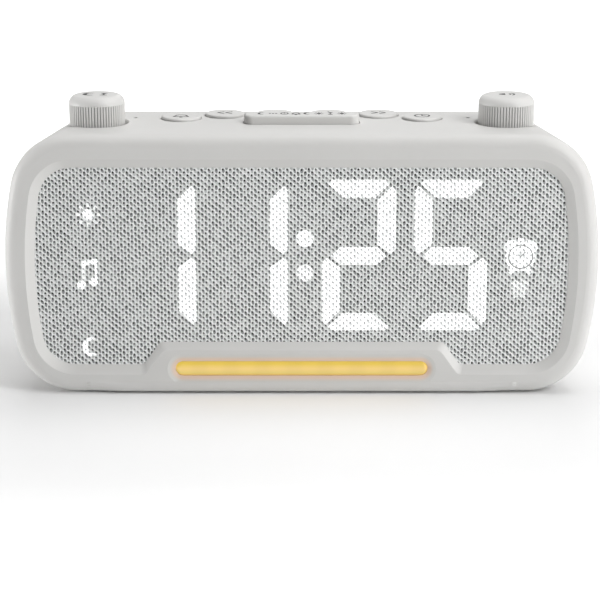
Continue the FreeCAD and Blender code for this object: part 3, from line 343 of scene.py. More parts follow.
# %% [markdown]
# ## The lit diffusers and the night-light lens
#
# Milky plastic in front of small lamps is never quite even: it is brightest near the lamps and
# warmer where the light has gone through more of it. The lens runs from deep yellow at both edges
# to pale amber in the middle.


# %% Lit plastics
LAMPS_PER_METRE = 94
LENS_COLOURS = ((0.0, (0.50, 0.35, 0.08)), (0.2, (0.52, 0.41, 0.10)), (0.5, (0.64, 0.46, 0.15)),
                (0.85, (0.56, 0.41, 0.03)), (1.0, (0.50, 0.37, 0.04)))


def amber_lens():
    """The night-light bar: its colour runs from edge to edge, and its lamps show as soft spots."""
    graph = Graph("amber_lens")
    parts = graph.place()[1]
    low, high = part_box("night_light_lens")
    level = graph.ramp(parts["Z"], low.z + LENS_FLANGE, high.z - LENS_FLANGE, smooth=False)
    lamps = graph.math("SINE", graph.math("MULTIPLY", parts["X"], 2 * math.pi * LAMPS_PER_METRE))
    glow = graph.ramp(lamps, -1.0, 1.0, 0.94, 1.0)
    graph.set(Base_Color=(0.3, 0.2, 0.08), Roughness=0.35,
              Emission_Color=graph.stops(level, *LENS_COLOURS), Emission_Strength=glow)
    return graph


def lit_diffuser():
    """Milky plastic in the wells of the light box."""
    graph = Graph("lit_diffuser")
    point = graph.place()[0]
    cloudy = graph.noise(point, 400.0)
    graph.set(Base_Color=(0.8, 0.8, 0.8), Roughness=0.5, Emission_Color=(1.0, 1.0, 1.0),
              Emission_Strength=graph.ramp(cloudy, 0.3, 0.7, 0.55, 0.65))
    return graph


finishes["amber_lens"] = amber_lens()
finishes["lit_diffuser"] = lit_diffuser()
print("finishes in all:", len(finishes))

# %% [markdown]
# ## Finishes on the CAD nodes
#
# The record names a material slot for every node. Each node whose slot has a finish gets it, so that
# a new node of a known slot can't be left plain.

# %% Give every CAD node its finish
slot_of = {entry["node"]: entry["material_slot"] for entry in frame["record"]["subparts"]}
for name, node in nodes.items():
    if slot_of[name] == "white_knob":
        finish = fluted(name + "_plastic", name)
    else:
        finish = finishes.get(slot_of[name])
    if finish is None:
        continue
    node.data.materials.clear()
    node.data.materials.append(finish.material)
print("nodes with a finish:", sum(1 for name in nodes if nodes[name].data.materials))

# %% [markdown]
# ## The knitted cloth
#
# Loudspeaker cloth is an open warp knit: columns of loops with a small hole between them, each
# column half a loop lower than the next. At arm's length it reads as pale grey with rows of dark
# pinholes. The lattice is worked out from the point's place, so the pattern keeps its real size,
# and a random draw for each loop makes some holes deeper and some loops lean more than others.

# %% Knit pattern
KNIT_COLUMN = 1.182 * MM
KNIT_LOOP = 1.885 * MM
DRIFT = 0.1
SLIP = 0.06
LEAN = (-0.1, 0.45)
HOLE_MIDDLE, HOLE_RADII, HOLE_EDGE = (-0.1, 0.36), (0.31, 0.36), 0.15
SHADE_MIDDLE, SHADE_RADII, SHADE_EDGE = (0.04, -0.06), (0.47, 0.8), 0.25


def oval(graph, side, rise, middle, radii, lean, edge):
    """1 inside a leaning oval and 0 outside it, over a soft edge; all lengths in mm."""
    up = graph.math("SUBTRACT", rise, middle[1])
    over = graph.math("SUBTRACT", side, middle[0])
    over = graph.math("ADD", over, graph.math("MULTIPLY", up, lean))
    wide = graph.math("DIVIDE", over, radii[0])
    high = graph.math("DIVIDE", up, radii[1])
    reach = graph.math("ADD", graph.math("MULTIPLY", wide, wide),
                       graph.math("MULTIPLY", high, high))
    return graph.ramp(reach, 1 + edge, 1 - edge)


def draws(graph, across, along, shift):
    """Three random numbers from 0 to 1 for the loop that a point lies in."""
    cell = graph.add("ShaderNodeCombineXYZ")
    graph.feed(cell.inputs[0], graph.math("FLOOR", across))
    graph.feed(cell.inputs[1], graph.math("FLOOR", along))
    cell.inputs[2].default_value = shift
    chance = graph.add("ShaderNodeTexWhiteNoise", noise_dimensions="3D")
    graph.feed(chance.inputs["Vector"], cell.outputs[0])
    draw = graph.add("ShaderNodeSeparateColor")
    graph.feed(draw.inputs[0], chance.outputs["Color"])
    return draw.outputs


def from_middle(graph, steps, size):
    """The place inside one loop, in mm from its middle, of a point so many loops along."""
    return graph.math("MULTIPLY", graph.math("SUBTRACT", graph.math("FRACT", steps), 0.5),
                      size / MM)


def knit_cells(graph, point, parts):
    """Two masks of the loops: the dark pinhole of each, and the grey shade between its yarns."""
    drift = graph.ramp(graph.noise(point, 0.3 / MM, 1.0), 0.2, 0.8, -DRIFT, DRIFT, smooth=False)
    slip = graph.ramp(graph.noise(point, 0.4 / MM, 1.0), 0.2, 0.8, -SLIP, SLIP, smooth=False)
    pinholes, shades = [], []
    for shift in (0.0, 0.5):
        across = graph.math("MULTIPLY_ADD", parts["X"], 0.5 / KNIT_COLUMN, 50 + shift)
        along = graph.math("MULTIPLY_ADD", parts["Z"], 1.0 / KNIT_LOOP, 50 + shift)
        across = graph.math("ADD", across, slip)
        along = graph.math("ADD", along, drift)
        lean_draw, hole_draw, shade_draw = draws(graph, across, along, shift)
        side = from_middle(graph, across, 2 * KNIT_COLUMN)
        rise = from_middle(graph, along, KNIT_LOOP)
        lean = graph.ramp(lean_draw, 0.0, 1.0, *LEAN, smooth=False)
        hole = oval(graph, side, rise, HOLE_MIDDLE, HOLE_RADII, lean, HOLE_EDGE)
        hole_depth = graph.ramp(hole_draw, 0.0, 1.0, 0.75, 1.0)
        pinholes.append(graph.math("MULTIPLY", hole, hole_depth))
        shade = oval(graph, side, rise, SHADE_MIDDLE, SHADE_RADII, lean, SHADE_EDGE)
        shade_depth = graph.ramp(shade_draw, 0.0, 1.0, 0.45, 1.0)
        shades.append(graph.math("MULTIPLY", shade, shade_depth))
    return graph.math("MAXIMUM", *pinholes), graph.math("MAXIMUM", *shades)


print("loops in mm:", round(KNIT_COLUMN / MM, 2), "across and", round(KNIT_LOOP / MM, 2), "high")

# %% [markdown]
# ## The cloth's four finishes
#
# The same knit is used unlit for the whole front and with light in it for the digits and signs.
# Light that comes through the loops is brightest in the yarn and dimmer in the holes, and a sign
# that is only half lit is the same knit with less light.

# %% Cloth finishes
THREAD = ((0.78, 0.8, 0.79), (1.0, 1.0, 1.0))
SHADED_THREAD = (0.17, 0.182, 0.178)
PINHOLE = (0.002, 0.002, 0.002)
GLOW = ((1.0, 1.0, 1.0), (0.45, 0.47, 0.47))
KNIT_RELIEF = 0.2 * MM


def knit(name, lit):
    """The knit, unlit or with light coming through it."""
    graph = Graph(name)
    point, parts = graph.place()
    pinhole, shade = knit_cells(graph, point, parts)
    yarn = graph.noise(point, 2.2 / MM, 3.0, 0.7)
    thread = graph.mix(graph.ramp(yarn, 0.35, 0.65), *THREAD)
    shaded = graph.mix(graph.math("MULTIPLY", shade, 0.85), thread, SHADED_THREAD)
    colour = graph.mix(pinhole, shaded, PINHOLE)
    graph.set(Base_Color=colour, Roughness=0.9, Specular_IOR_Level=0.15)
    if lit:
        dim = graph.math("ADD", graph.math("MULTIPLY", pinhole, 0.5),
                         graph.math("MULTIPLY", shade, 0.3))
        glow = graph.mix(dim, *GLOW)
        graph.set(Base_Color=(0.3, 0.3, 0.3), Emission_Color=glow, Emission_Strength=lit)
    hollow = graph.math("ADD", pinhole, graph.math("MULTIPLY", shade, 0.5))
    relief = graph.math("MULTIPLY_ADD", yarn, 0.25, graph.math("MULTIPLY", hollow, -1.0))
    graph.bump(relief, KNIT_RELIEF, 0.5)
    return graph


cloth_finish = knit("grey_cloth", 0)
lit_cloth = knit("lit_cloth", 0.62)
dim_cloth = knit("dim_cloth", 0.3)
soft_cloth = knit("soft_cloth", 0.46)
print("cloth finishes: unlit, lit, half lit and dim")

# %% [markdown]
# ## The cloth as a stretched sheet
#
# The cloth is pulled flat over its carrier and its edge is trapped behind the window's flange,
# with a notch cut out for the chin. Its outline is read from the front face of the CAD plate that
# stands for it, so the sheet has the cut of the real one.

# %% Outline of the cloth
SAME_POINT = 1e-6
SAME_LEVEL = 1e-5
MOST_POINTS = 5000
cloth_low, cloth_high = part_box("speaker_cloth")
cloth_front = cloth_low.y


def outline_of(node, level):
    """The outline of a CAD plate's front face: its boundary points in order."""
    work = bmesh.new()
    work.from_mesh(nodes[node].data)
    bmesh.ops.remove_doubles(work, verts=work.verts, dist=SAME_POINT)
    away = [f for f in work.faces if any(abs(v.co.y - level) > SAME_LEVEL for v in f.verts)]
    bmesh.ops.delete(work, geom=away, context="FACES")
    edges = {}
    for edge in work.edges:
        if len(edge.link_faces) == 1:
            a, b = edge.verts
            edges.setdefault(a.index, []).append(b.index)
            edges.setdefault(b.index, []).append(a.index)
    work.verts.ensure_lookup_table()
    start = next(iter(edges))
    path = [start]
    previous = None
    while True:
        following = [i for i in edges[path[-1]] if i != previous]
        previous = path[-1]
        if following[0] == start or len(path) > MOST_POINTS:
            break
        path.append(following[0])
    points = [(work.verts[i].co.x, work.verts[i].co.z) for i in path]
    work.free()
    return points


cloth_outline = outline_of("speaker_cloth", cloth_front)
print("cloth outline points:", len(cloth_outline))

# %% [markdown]
# ## A sheet from an outline
#
# A flat outline with one big face would bend badly and shade unevenly. A net of points inside it,
# joined into triangles, gives an even sheet, and a thin solid on both sides gives it its thickness.


# %% Filled sheet
def new_piece(name, points, faces, material):
    """A mesh object made from points and faces, with its finish, put in the scene."""
    mesh = bpy.data.meshes.new(name)
    mesh.from_pydata(points, [], faces)
    mesh.update()
    mesh.materials.append(material)
    piece = bpy.data.objects.new(name, mesh)
    bpy.context.scene.collection.objects.link(piece)
    return piece


def inside(point, outline):
    """Whether a point lies inside: a line to its right crosses the outline an odd number of times."""
    x, z = point
    hit = False
    for (x0, z0), (x1, z1) in zip(outline, outline[1:] + outline[:1]):
        if (z0 > z) != (z1 > z) and x < (x1 - x0) * (z - z0) / (z1 - z0) + x0:
            hit = not hit
    return hit


def filled_sheet(name, outline, y, net, material):
    """A flat mesh of triangles inside an outline, with a net of points that far apart."""
    points = [Vector(p) for p in outline]
    border = [(i, (i + 1) % len(points)) for i in range(len(points))]
    low_x, high_x = min(p.x for p in points), max(p.x for p in points)
    low_z, high_z = min(p.y for p in points), max(p.y for p in points)
    for i in range(int((high_x - low_x) / net)):
        for j in range(int((high_z - low_z) / net)):
            spot = (low_x + (i + 0.5 + 0.5 * (j % 2)) * net, low_z + (j + 0.5) * net)
            if inside(spot, outline):
                points.append(Vector(spot))
    verts, _, faces = delaunay_2d_cdt(points, border, [], 1, 1e-7)[:3]
    piece = new_piece(name, [(v.x, y, v.y) for v in verts], [tuple(reversed(f)) for f in faces],
                      material)
    if sum(face.normal.y for face in piece.data.polygons) > 0:
        piece.data.flip_normals()
    return piece


SHEET_DEEP = 0.25 * MM
SHEET_THICK = 0.3 * MM
SHEET_NET = 4 * MM
cloth = filled_sheet("knit_cloth", cloth_outline, cloth_front + SHEET_DEEP, SHEET_NET,
                     cloth_finish.material)
thickness = cloth.modifiers.new("thickness", "SOLIDIFY")
thickness.thickness = SHEET_THICK
thickness.offset = 0
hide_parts("speaker_cloth")
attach(cloth, "clock")

# %% [markdown]
# ## The time, lit through the cloth
#
# A segment display has a shaped light well behind each stroke, and the cloth glows where one is
# lit. Each lit stroke is a patch of the same knit with light in it, cut to the front face of its
# diffuser and laid on the cloth. The pattern comes from the place, so it runs on across the
# patch's edge.


# %% Fronts of the diffusers
SAME_DIGITS = 7  # a middle rounded to these digits of a metre doesn't hang on the order of a sum


def islands(node):
    """The separate solids of a CAD node, each as its list of points."""
    work = bmesh.new()
    work.from_mesh(nodes[node].data)
    bmesh.ops.remove_doubles(work, verts=work.verts, dist=SAME_POINT)
    left = set(work.verts)
    groups = []
    while left:
        stack = [left.pop()]
        group = list(stack)
        while stack:
            for edge in stack.pop().link_edges:
                for vert in edge.verts:
                    if vert in left:
                        left.remove(vert)
                        stack.append(vert)
                        group.append(vert)
        groups.append([vert.co.copy() for vert in group])
    work.free()
    return groups


def front_outline(points):
    """The front face of a convex prism, as points in order round its middle."""
    near = min(p.y for p in points)
    face = [p for p in points if p.y < near + SAME_LEVEL]
    x = round(sum(p.x for p in face) / len(face), SAME_DIGITS)
    z = round(sum(p.z for p in face) / len(face), SAME_DIGITS)
    face.sort(key=lambda p: math.atan2(p.z - z, p.x - x))
    return [(p.x, p.z) for p in face], (x, z)


def extent(loop):
    """How wide and how high a loop of points is."""
    across = [x for x, z in loop]
    up = [z for x, z in loop]
    return max(across) - min(across), max(up) - min(up)


# The solids come in no fixed order, so they are sorted by place and every run is the same.
fronts = sorted((front_outline(group) for group in islands("segment_diffusers")),
                key=lambda front: front[1])
print("diffusers:", len(fronts))

# %% [markdown]
# ## Which stroke is which
#
# The record doesn't say which diffuser is the top of which digit, but their places do. The level
# strokes give the middle of each digit, and every other stroke is named from where it lies round
# that middle.

# %% Names of the strokes
STROKE_LONG = 15 * MM
NEAR_MIDDLE = 3 * MM
level_strokes = [(loop, centre) for loop, centre in fronts if extent(loop)[0] > STROKE_LONG]
stroke_levels = [z for loop, centre in level_strokes for x, z in loop]
middle_level = (min(stroke_levels) + max(stroke_levels)) / 2
middles = sorted(centre[0] for loop, centre in level_strokes
                 if abs(centre[1] - middle_level) < NEAR_MIDDLE)


def stroke_name(centre, digit_x):
    """What a stroke is called, from where it lies in its digit."""
    side = centre[0] - digit_x
    level = centre[1] - middle_level
    if abs(side) < NEAR_MIDDLE:
        return "middle" if abs(level) < NEAR_MIDDLE else "top" if level > 0 else "bottom"
    return ("upper" if level > 0 else "lower") + (" right" if side > 0 else " left")


print("digit middles in mm:", [round(x / MM, 1) for x in middles])

# %% [markdown]
# ## Patches of lit cloth
#
# A patch is a set of flat faces three hundredths of a millimetre in front of the cloth. The light
# spreads a little in the cloth, so the patches sit slightly off their wells, as the lit strokes do.

# %% Lit digits and colon
PATCH_LIFT = 0.03 * MM
PATCH_Y = cloth_front + SHEET_DEEP - SHEET_THICK / 2 - PATCH_LIFT
LIT_SHIFT = (0.3 * MM, 0.5 * MM)
HALF_DIGIT = 13 * MM
DOT_WIDE = 8 * MM
COLON_REACH = 20 * MM
LIT_STROKES = {
    1: ["upper right", "lower right"],
    2: ["top", "upper right", "middle", "lower left", "bottom"],
    5: ["top", "upper left", "middle", "lower right", "bottom"],
}
TIME = [1, 1, 2, 5]


def flat_piece(name, loops, place, axis, way, finish):
    """Flat faces, one for each loop, put where place says and turned to look along an axis."""
    points, faces = [], []
    for loop in loops:
        faces.append(list(range(len(points), len(points) + len(loop))))
        points += [place(*point) for point in loop]
    piece = new_piece(name, points, faces, finish.material)
    work = bmesh.new()
    work.from_mesh(piece.data)
    for face in work.faces:
        face.normal_update()
        if face.normal[axis] * way < 0:
            face.normal_flip()
    work.to_mesh(piece.data)
    work.free()
    return piece


def patch(name, loops, finish, shift=(0.0, 0.0), depth=0.0):
    """Flat faces on the cloth, one for each loop of points, as one piece of the clock."""
    piece = flat_piece(name, loops, lambda x, z: (x + shift[0], PATCH_Y - depth, z + shift[1]),
                       1, -1, finish)
    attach(piece, "clock")
    return piece


for index, (number, digit_x) in enumerate(zip(TIME, middles)):
    strokes = [loop for loop, centre in fronts
               if abs(centre[0] - digit_x) < HALF_DIGIT and max(extent(loop)) > STROKE_LONG
               and stroke_name(centre, digit_x) in LIT_STROKES[number]]
    patch(f"lit_digit_{index + 1}", strokes, lit_cloth, LIT_SHIFT)
dots = sorted((centre[1], loop) for loop, centre in fronts
              if max(extent(loop)) < DOT_WIDE and abs(centre[0]) < COLON_REACH)
patch("lit_colon_low", [dots[0][1]], soft_cloth, LIT_SHIFT)
patch("lit_colon_high", [dots[-1][1]], lit_cloth, LIT_SHIFT)
print("digits lit:", len(TIME), "colon dots:", len(dots))

# %% [markdown]
# ## The small signs
#
# Beside the time there are small lit signs. They are plain pictures drawn from discs, rings and
# bars: a sun, a note and a moon at the left, and an alarm clock with two bells at the right.


# %% Discs, bars and arcs
def on_circle(x, z, radius, turn):
    """The point of a circle at this turn, in radians."""
    return x + radius * math.cos(turn), z + radius * math.sin(turn)


def disc(x, z, radius, steps=28):
    """A filled circle."""
    return [on_circle(x, z, radius, 2 * math.pi * i / steps) for i in range(steps)]


def bar(x0, z0, x1, z1, wide):
    """A straight bar from one point to another."""
    length = math.hypot(x1 - x0, z1 - z0)
    side = ((z0 - z1) / length * wide / 2, (x1 - x0) / length * wide / 2)
    return [(x0 + side[0], z0 + side[1]), (x0 - side[0], z0 - side[1]),
            (x1 - side[0], z1 - side[1]), (x1 + side[0], z1 + side[1])]


def arc(x, z, radius, wide, start=0.0, stop=360.0, steps=32):
    """Part of a ring, as a run of four-sided faces."""
    loops = []
    for i in range(steps):
        a, b = (math.radians(start + (stop - start) * k / steps) for k in (i, i + 1))
        inner, outer = radius - wide / 2, radius + wide / 2
        loops.append([on_circle(x, z, r, t)
                      for r, t in ((inner, a), (outer, a), (outer, b), (inner, b))])
    return loops


def crescent(x, z, radius, bite, steps=24):
    """A moon: a disc with another disc bitten out of its right side."""
    outer = [on_circle(x, z, radius, math.radians(50 + 260 * i / steps))
             for i in range(steps + 1)]
    inner = [on_circle(x + bite, z, radius * 0.92, math.radians(235 - 110 * i / steps))
             for i in range(steps + 1)]
    return [[outer[i], outer[i + 1], inner[steps - i - 1], inner[steps - i]]
            for i in range(steps)]


print("a disc has", len(disc(0, 0, 1)), "points, a ring", len(arc(0, 0, 1, 0.1)), "faces")


# %% Sun, note and alarm clock
def sun(x, z, radius):
    """A disc with eight rays."""
    rays = [bar(*on_circle(x, z, radius * 1.4, turn), *on_circle(x, z, radius * 2.1, turn),
                radius * 0.42) for turn in (math.pi / 4 * i for i in range(8))]
    return [disc(x, z, radius), *rays]


def note(x, z, high):
    """A pair of joined quavers: two heads, two stems and the beam over them."""
    thick = high * 0.11
    left, right = x - high * 0.25, x + high * 0.25
    low, top = z - high / 2, z + high / 2
    return [disc(left - thick, low + thick, thick * 1.6),
            disc(right - thick, low + thick * 2.2, thick * 1.6),
            bar(left, low + thick, left, top, thick),
            bar(right, low + thick * 2.2, right, top + thick, thick),
            bar(left - thick / 2, top, right + thick / 2, top + thick, thick * 1.8)]


def twin_bell(x, z, radius):
    """A filled alarm clock: body, two bells, a button and two feet."""
    loops = [disc(x, z, radius, 40)]
    for side in (-1, 1):
        bell_middle = on_circle(x, z, radius * 0.9, math.radians(90 - side * 43))
        loops.append(disc(*bell_middle, radius * 0.47))
        loops.append(bar(x + side * radius * 0.45, z - radius * 0.8,
                         x + side * radius * 0.7, z - radius * 1.14, radius * 0.3))
    loops.append(bar(x, z + radius * 0.9, x, z + radius * 1.26, radius * 0.42))
    return loops


def dial_lines(x, z, radius, line):
    """The rim and the two hands of the alarm clock's face."""
    return [*arc(x, z, radius * 0.79, line),
            bar(x, z, x + radius * 0.32, z + radius * 0.34, line * 0.8),
            bar(x, z, x - radius * 0.2, z + radius * 0.16, line * 0.8)]


print("the alarm clock has", len(twin_bell(0, 0, 1)), "faces")

# %% [markdown]
# ## Signs beside the digits
#
# The signs stand in two columns, one at each side. The big alarm clock is lit and the small one
# under it is dim, as on a clock with two alarms of which one is set. Its dial is drawn in thin
# unlit lines on the lit face.

# %% Lit and dim signs
unlit_line = moulded("unlit_line", (0.2, 0.2, 0.2), 0.9, cloud=0.3)
SIGN_LEFT = -71.2 * MM
SIGN_RIGHT = 73.4 * MM
ALARM_HIGH = 47.9 * MM
ALARM_SIZE = 5.1 * MM
DIAL_LINE = 0.36 * MM
DIAL_LIFT = 0.02 * MM
patch("lit_sun", sun(SIGN_LEFT, 62.3 * MM, 1.95 * MM), lit_cloth)
patch("lit_note", note(SIGN_LEFT, 41.3 * MM, 8.4 * MM), lit_cloth)
patch("lit_moon", crescent(SIGN_LEFT, 16.4 * MM, 3.3 * MM, 1.6 * MM), lit_cloth)
patch("lit_alarm", twin_bell(SIGN_RIGHT, ALARM_HIGH, ALARM_SIZE), lit_cloth)
patch("dim_alarm", twin_bell(SIGN_RIGHT, 36.6 * MM, 2.7 * MM), dim_cloth)
patch("alarm_lines", dial_lines(SIGN_RIGHT, ALARM_HIGH, ALARM_SIZE, DIAL_LINE), unlit_line,
      depth=DIAL_LIFT)
print("signs made: sun, note, moon, two alarm clocks")

# %% [markdown]
# ## The lip along the foot
#
# The front turns under the clock more tightly than it turns over the top. The CAD shell has one
# round all the way, so a slim lip fills its corner along the foot, with a smaller round of its own.
# It fades out at both ends and lies inside the box of the shell.

# %% Foot lip
LIP_REACH = 73 * MM
LIP_FADE = 14 * MM
LIP_STATIONS = 8
LIP_ROUND = 2.8 * MM
SHELL_ROUND = 4.2 * MM
LIP_SUNK = 0.02 * MM
foot_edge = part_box("housing")[0]


def corner_path(radius, steps=9):
    """From the front plane down and under to the bottom plane, as depth and height."""
    path = [(0.0, SHELL_ROUND)]
    for i in range(steps):
        angle = math.pi / 2 * i / (steps - 1)
        path.append((radius * (1 - math.cos(angle)), radius * (1 - math.sin(angle))))
    return path + [(SHELL_ROUND, 0.0)]


def foot_lip():
    """A bar between the shell's wide round and the lip's smaller one, station by station."""
    wide, tight = corner_path(SHELL_ROUND), corner_path(LIP_ROUND)
    places = [-LIP_REACH + LIP_FADE * i / LIP_STATIONS for i in range(LIP_STATIONS + 1)]
    places += [-x for x in reversed(places)]
    points, faces = [], []
    for x in places:
        full = min((LIP_REACH - abs(x)) / LIP_FADE, 1.0)
        full = full * full * (3 - 2 * full)
        front = [((1 - full) * a[0] + full * b[0], (1 - full) * a[1] + full * b[1])
                 for a, b in zip(wide, tight)]
        back = [(y + LIP_SUNK, z + LIP_SUNK) for y, z in reversed(wide)]
        points += [(x, foot_edge.y + y, foot_edge.z + z) for y, z in front + back]
    ring = 2 * len(wide)
    for i in range(len(places) - 1):
        for j in range(ring):
            a, b = i * ring + j, i * ring + (j + 1) % ring
            faces.append((a, b, b + ring, a + ring))
    faces += [tuple(range(ring)), tuple(reversed(range(len(points) - ring, len(points))))]
    piece = new_piece("base_lip", points, faces, finishes["white_shell"].material)
    work = bmesh.new()
    work.from_mesh(piece.data)
    bmesh.ops.recalc_face_normals(work, faces=work.faces)
    work.to_mesh(piece.data)
    work.free()
    piece.data.shade_smooth()
    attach(piece, "clock")


foot_lip()
print("foot lip in mm:", round(2 * LIP_REACH / MM), "long, round", round(LIP_ROUND / MM, 1))

# %% [markdown]
# ## Printed pictures on the keys and knobs
#
# Keys like these carry a small print in dark ink. The print is a thin layer of ink just above the
# plastic, so it is a set of flat faces a few hundredths of a millimetre over the cap, and it rides
# on its key.

# %% Ink prints
ink = moulded("grey_ink", (0.03, 0.03, 0.03), 0.6, cloud=0.12)
INK_LIFT = 0.03 * MM


def print_on(name, node, body, loops):
    """Flat ink faces over the top of a node; the loops are given round its middle."""
    low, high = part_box(node)
    x, y = (low.x + high.x) / 2, (low.y + high.y) / 2
    piece = flat_piece(name, loops, lambda a, b: (x + a, y + b, high.z + INK_LIFT), 2, 1, ink)
    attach(piece, body)
    return piece


print("ink lies", round(INK_LIFT / MM, 2), "mm over a cap")


# %% Pictures to print
def plus(size, line):
    """A cross of one bar and two half bars."""
    return [bar(-size, 0, size, 0, line), bar(0, -size, 0, -line / 2, line),
            bar(0, line / 2, 0, size, line)]


def chevrons(size, line, way):
    """Two arrow heads that point to the right where way is 1, and to the left where it is -1."""
    loops = []
    tip = way * size * 0.45
    for shift in (-0.55 * size, 0.55 * size):
        loops.append(bar(shift - tip, size * 0.8, shift + tip, 0, line))
        loops.append(bar(shift + tip, 0, shift - tip, -size * 0.8, line))
    return loops


def bell(size, line):
    """A bell: its crown, two flared sides, its rim and its clapper."""
    side, shoulder, rim = size * 0.75, -size * 0.1, -size * 0.75
    return [*arc(0, shoulder, side, line, 0, 180, 16),
            bar(-side, shoulder, -size, -size * 0.7, line),
            bar(side, shoulder, size, -size * 0.7, line),
            bar(-size * 1.1, rim, size * 1.1, rim, line), disc(0, -size * 1.15, line, 12)]


def hourglass(size, line):
    """Two plates with two filled cones of sand between them."""
    plate, cone = size * 0.6, size * 0.5
    return [bar(-plate, size, plate, size, line), bar(-plate, -size, plate, -size, line),
            [(-cone, size), (0, 0), (cone, size)], [(-cone, -size), (cone, -size), (0, 0)]]


def speaker_sign(size, line):
    """A loudspeaker's cone from the side, with two waves in front of it."""
    throat, mouth = 0.25 * size, 0.6 * size
    return [*arc(0, 0, size * 0.5, line, -50, 50, 8), *arc(0, 0, size, line, -50, 50, 12),
            [(-size * 0.2, mouth), (-size, throat), (-size, -throat), (-size * 0.2, -mouth)]]


def moved(loops, x, tall=1.0):
    """A picture moved along, and made taller."""
    return [[(a + x, b * tall) for a, b in loop] for loop in loops]


LINE = 0.6 * MM
SIGN = 2.5 * MM
SMALL = 1.35 * MM
TALL = 1.4
dial = [*arc(0, 0, SIGN, LINE), bar(0, 0, 0, SIGN * 0.7, LINE), bar(0, 0, SIGN * 0.5, 0, LINE)]
small_dial = [*arc(0, 0, SMALL * 0.9, LINE * 0.7), bar(0, 0, 0, SMALL * 0.6, LINE * 0.7)]
three_dots = [disc(x * SMALL * 0.8, 0, SMALL * 0.3, 12) for x in (-1, 0, 1)]
small_moon = crescent(0, 0, SMALL, SMALL * 0.5)
small_sun = sun(0, 0, SMALL * 0.55)
row = (small_moon, three_dots, small_dial, bell(SMALL, LINE * 0.8), small_moon,
       small_sun, hourglass(SMALL, LINE * 0.6), small_sun)
print("signs in the long bar's row:", len(row))

# %% [markdown]
# ## A picture for every key
#
# Each key gets one picture, the long bar a row of them, and each knob what it sets: the sleep time
# at the left and the sound at the right. A print moves and turns with the piece it lies on.

# %% Print the keys, the bar and the knobs
ROW_STEP = 3.9 * MM
KNOB_STEP = 2.4 * MM
KNOB_SPEAKER = 2.6 * MM
bar_row = [loop for i, sign in enumerate(row)
           for loop in moved(sign, (i - (len(row) - 1) / 2) * ROW_STEP, TALL)]
sleep_signs = [*moved(crescent(0, 0, 2.4 * MM, 1.2 * MM), -KNOB_STEP),
               *moved(hourglass(1.9 * MM, LINE), KNOB_STEP)]
PRINTS = (
    ("print_bell", "key_1", "first_key", bell(SIGN, LINE)),
    ("print_back", "key_2", "second_key", chevrons(SIGN, LINE, -1)),
    ("print_minus", "key_3", "third_key", [bar(-SIGN, 0, SIGN, 0, LINE)]),
    ("print_plus", "key_4", "fourth_key", plus(SIGN, LINE)),
    ("print_forward", "key_5", "fifth_key", chevrons(SIGN, LINE, 1)),
    ("print_clock", "key_6", "sixth_key", dial),
    ("print_row", "snooze_bar", "snooze", bar_row),
    ("print_sleep", "left_knob", "left_turn", sleep_signs),
    ("print_sound", "right_knob", "right_turn", speaker_sign(KNOB_SPEAKER, LINE)),
)
for name, node, body, loops in PRINTS:
    print_on(name, node, body, loops)
print("prints made:", len(PRINTS))

# %% [markdown]
# ## The white table
#
# The clock stands on a white table whose soft shadows fade to plain white further off. The table is
# a plain matt white beside the clock, so that it keeps its shadow. With the distance from the clock
# it gets a painted glow of its own, which only the camera and reflections see, so it never lights
# the clock.

# %% Floor
FLOOR_HALF = 4.0
FLOOR_GRAIN = 700.0
PAINTED_GLOW_STOPS = ((0.04, 0.0), (0.17, 0.03), (0.25, 0.08), (0.35, 0.2), (1.0, 0.5))
CLEAR_REACH = 0.4


def floor_material():
    """White table: its own shade beside the clock, and a painted glow that clears it to white further
    off.
    """
    graph = Graph("white_table")
    point, parts = graph.place()
    fine = graph.noise(point, FLOOR_GRAIN)
    graph.set(Base_Color=(0.9, 0.9, 0.9), Roughness=graph.ramp(fine, 0.3, 0.7, 0.6, 0.7))
    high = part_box("housing")[1]
    away = graph.length(graph.beyond(parts["X"], high.x), graph.beyond(parts["Y"], high.y))
    # Painted light: a glow seen only by the camera and in reflections, rising with the distance from
    # the clock.
    clear = graph.stops(graph.math("DIVIDE", away, CLEAR_REACH),
                        *((place, (grey,) * 3) for place, grey in PAINTED_GLOW_STOPS))
    ray = graph.add("ShaderNodeLightPath").outputs
    seen = graph.math("MAXIMUM", ray["Is Camera Ray"], ray["Is Glossy Ray"])
    graph.set(Emission_Color=clear, Emission_Strength=seen)
    return graph


table = new_piece("table", [(x * FLOOR_HALF, y * FLOOR_HALF, 0)
                            for x, y in ((-1, -1), (1, -1), (1, 1), (-1, 1))],
                  [(0, 1, 2, 3)], floor_material().material)
print("table reaches", FLOOR_HALF, "m each way")

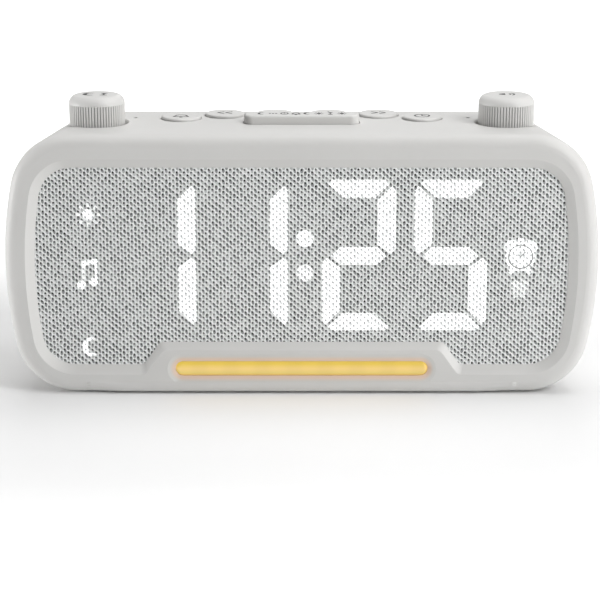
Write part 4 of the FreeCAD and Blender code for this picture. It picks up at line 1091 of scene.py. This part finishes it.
# %% [markdown]
# ## Six soft lamps
#
# The photograph has soft light from all round, so one lamp can't make it. A big lamp overhead does
# much of the work, with a softer one at its right. The key lamp at the right front models the knobs
# and the bevels, a low lamp at each side lights the side walls and the chin's slopes, and a lamp
# behind brightens the back of the top.

# %% Lamps
# Each lamp is a round one: its name, its place and width in metres, and its power in watts.
LAMPS = (
    ("overhead_lamp", (0.1, 0.15, 1.5), 1.4, 11.1),
    ("upper_right_lamp", (0.75, 0.1, 1.3), 0.9, 3.2),
    ("key_lamp", (0.95, -0.75, 1.0), 0.6, 8.6),
    ("low_right_lamp", (1.4, -0.7, 0.25), 0.45, 8.1),
    ("low_left_lamp", (-1.5, -0.05, 0.14), 0.26, 13.3),
    ("back_lamp", (0.0, 1.3, 0.9), 1.2, 4.1),
)
AIM = Vector((0, 0, 0.04))

for name, spot, across, power in LAMPS:
    data = bpy.data.lights.new(name, "AREA")
    data.shape = "DISK"
    data.size = across
    data.energy = power
    light = bpy.data.objects.new(name, data)
    light.location = spot
    light.rotation_euler = (AIM - Vector(spot)).to_track_quat("-Z", "Y").to_euler()
    bpy.context.scene.collection.objects.link(light)
print("lamps:", len(LAMPS))

# %% [markdown]
# ## The studio's walls
#
# The walls are plain white. The camera sees them as pure white, and they add only a little light of
# their own, so the lamps still shape the clock. The colours are shown as they are, with no film
# look, because white has to stay white.

# %% Surroundings
AMBIENT = 0.12
world = bpy.data.worlds.new("studio")
bpy.context.scene.world = world
world.use_nodes = True
tree = world.node_tree
background = tree.nodes["Background"]
background.inputs["Color"].default_value = (1.0, 1.0, 1.0, 1.0)
light_path = tree.nodes.new("ShaderNodeLightPath")
strength = tree.nodes.new("ShaderNodeMapRange")
strength.inputs["To Min"].default_value = AMBIENT
strength.inputs["To Max"].default_value = 1.0
tree.links.new(light_path.outputs["Is Camera Ray"], strength.inputs["Value"])
tree.links.new(strength.outputs[0], background.inputs["Strength"])
bpy.context.scene.view_settings.view_transform = "Standard"
print("light of the walls:", AMBIENT, "and 1 to the camera")

# %% [markdown]
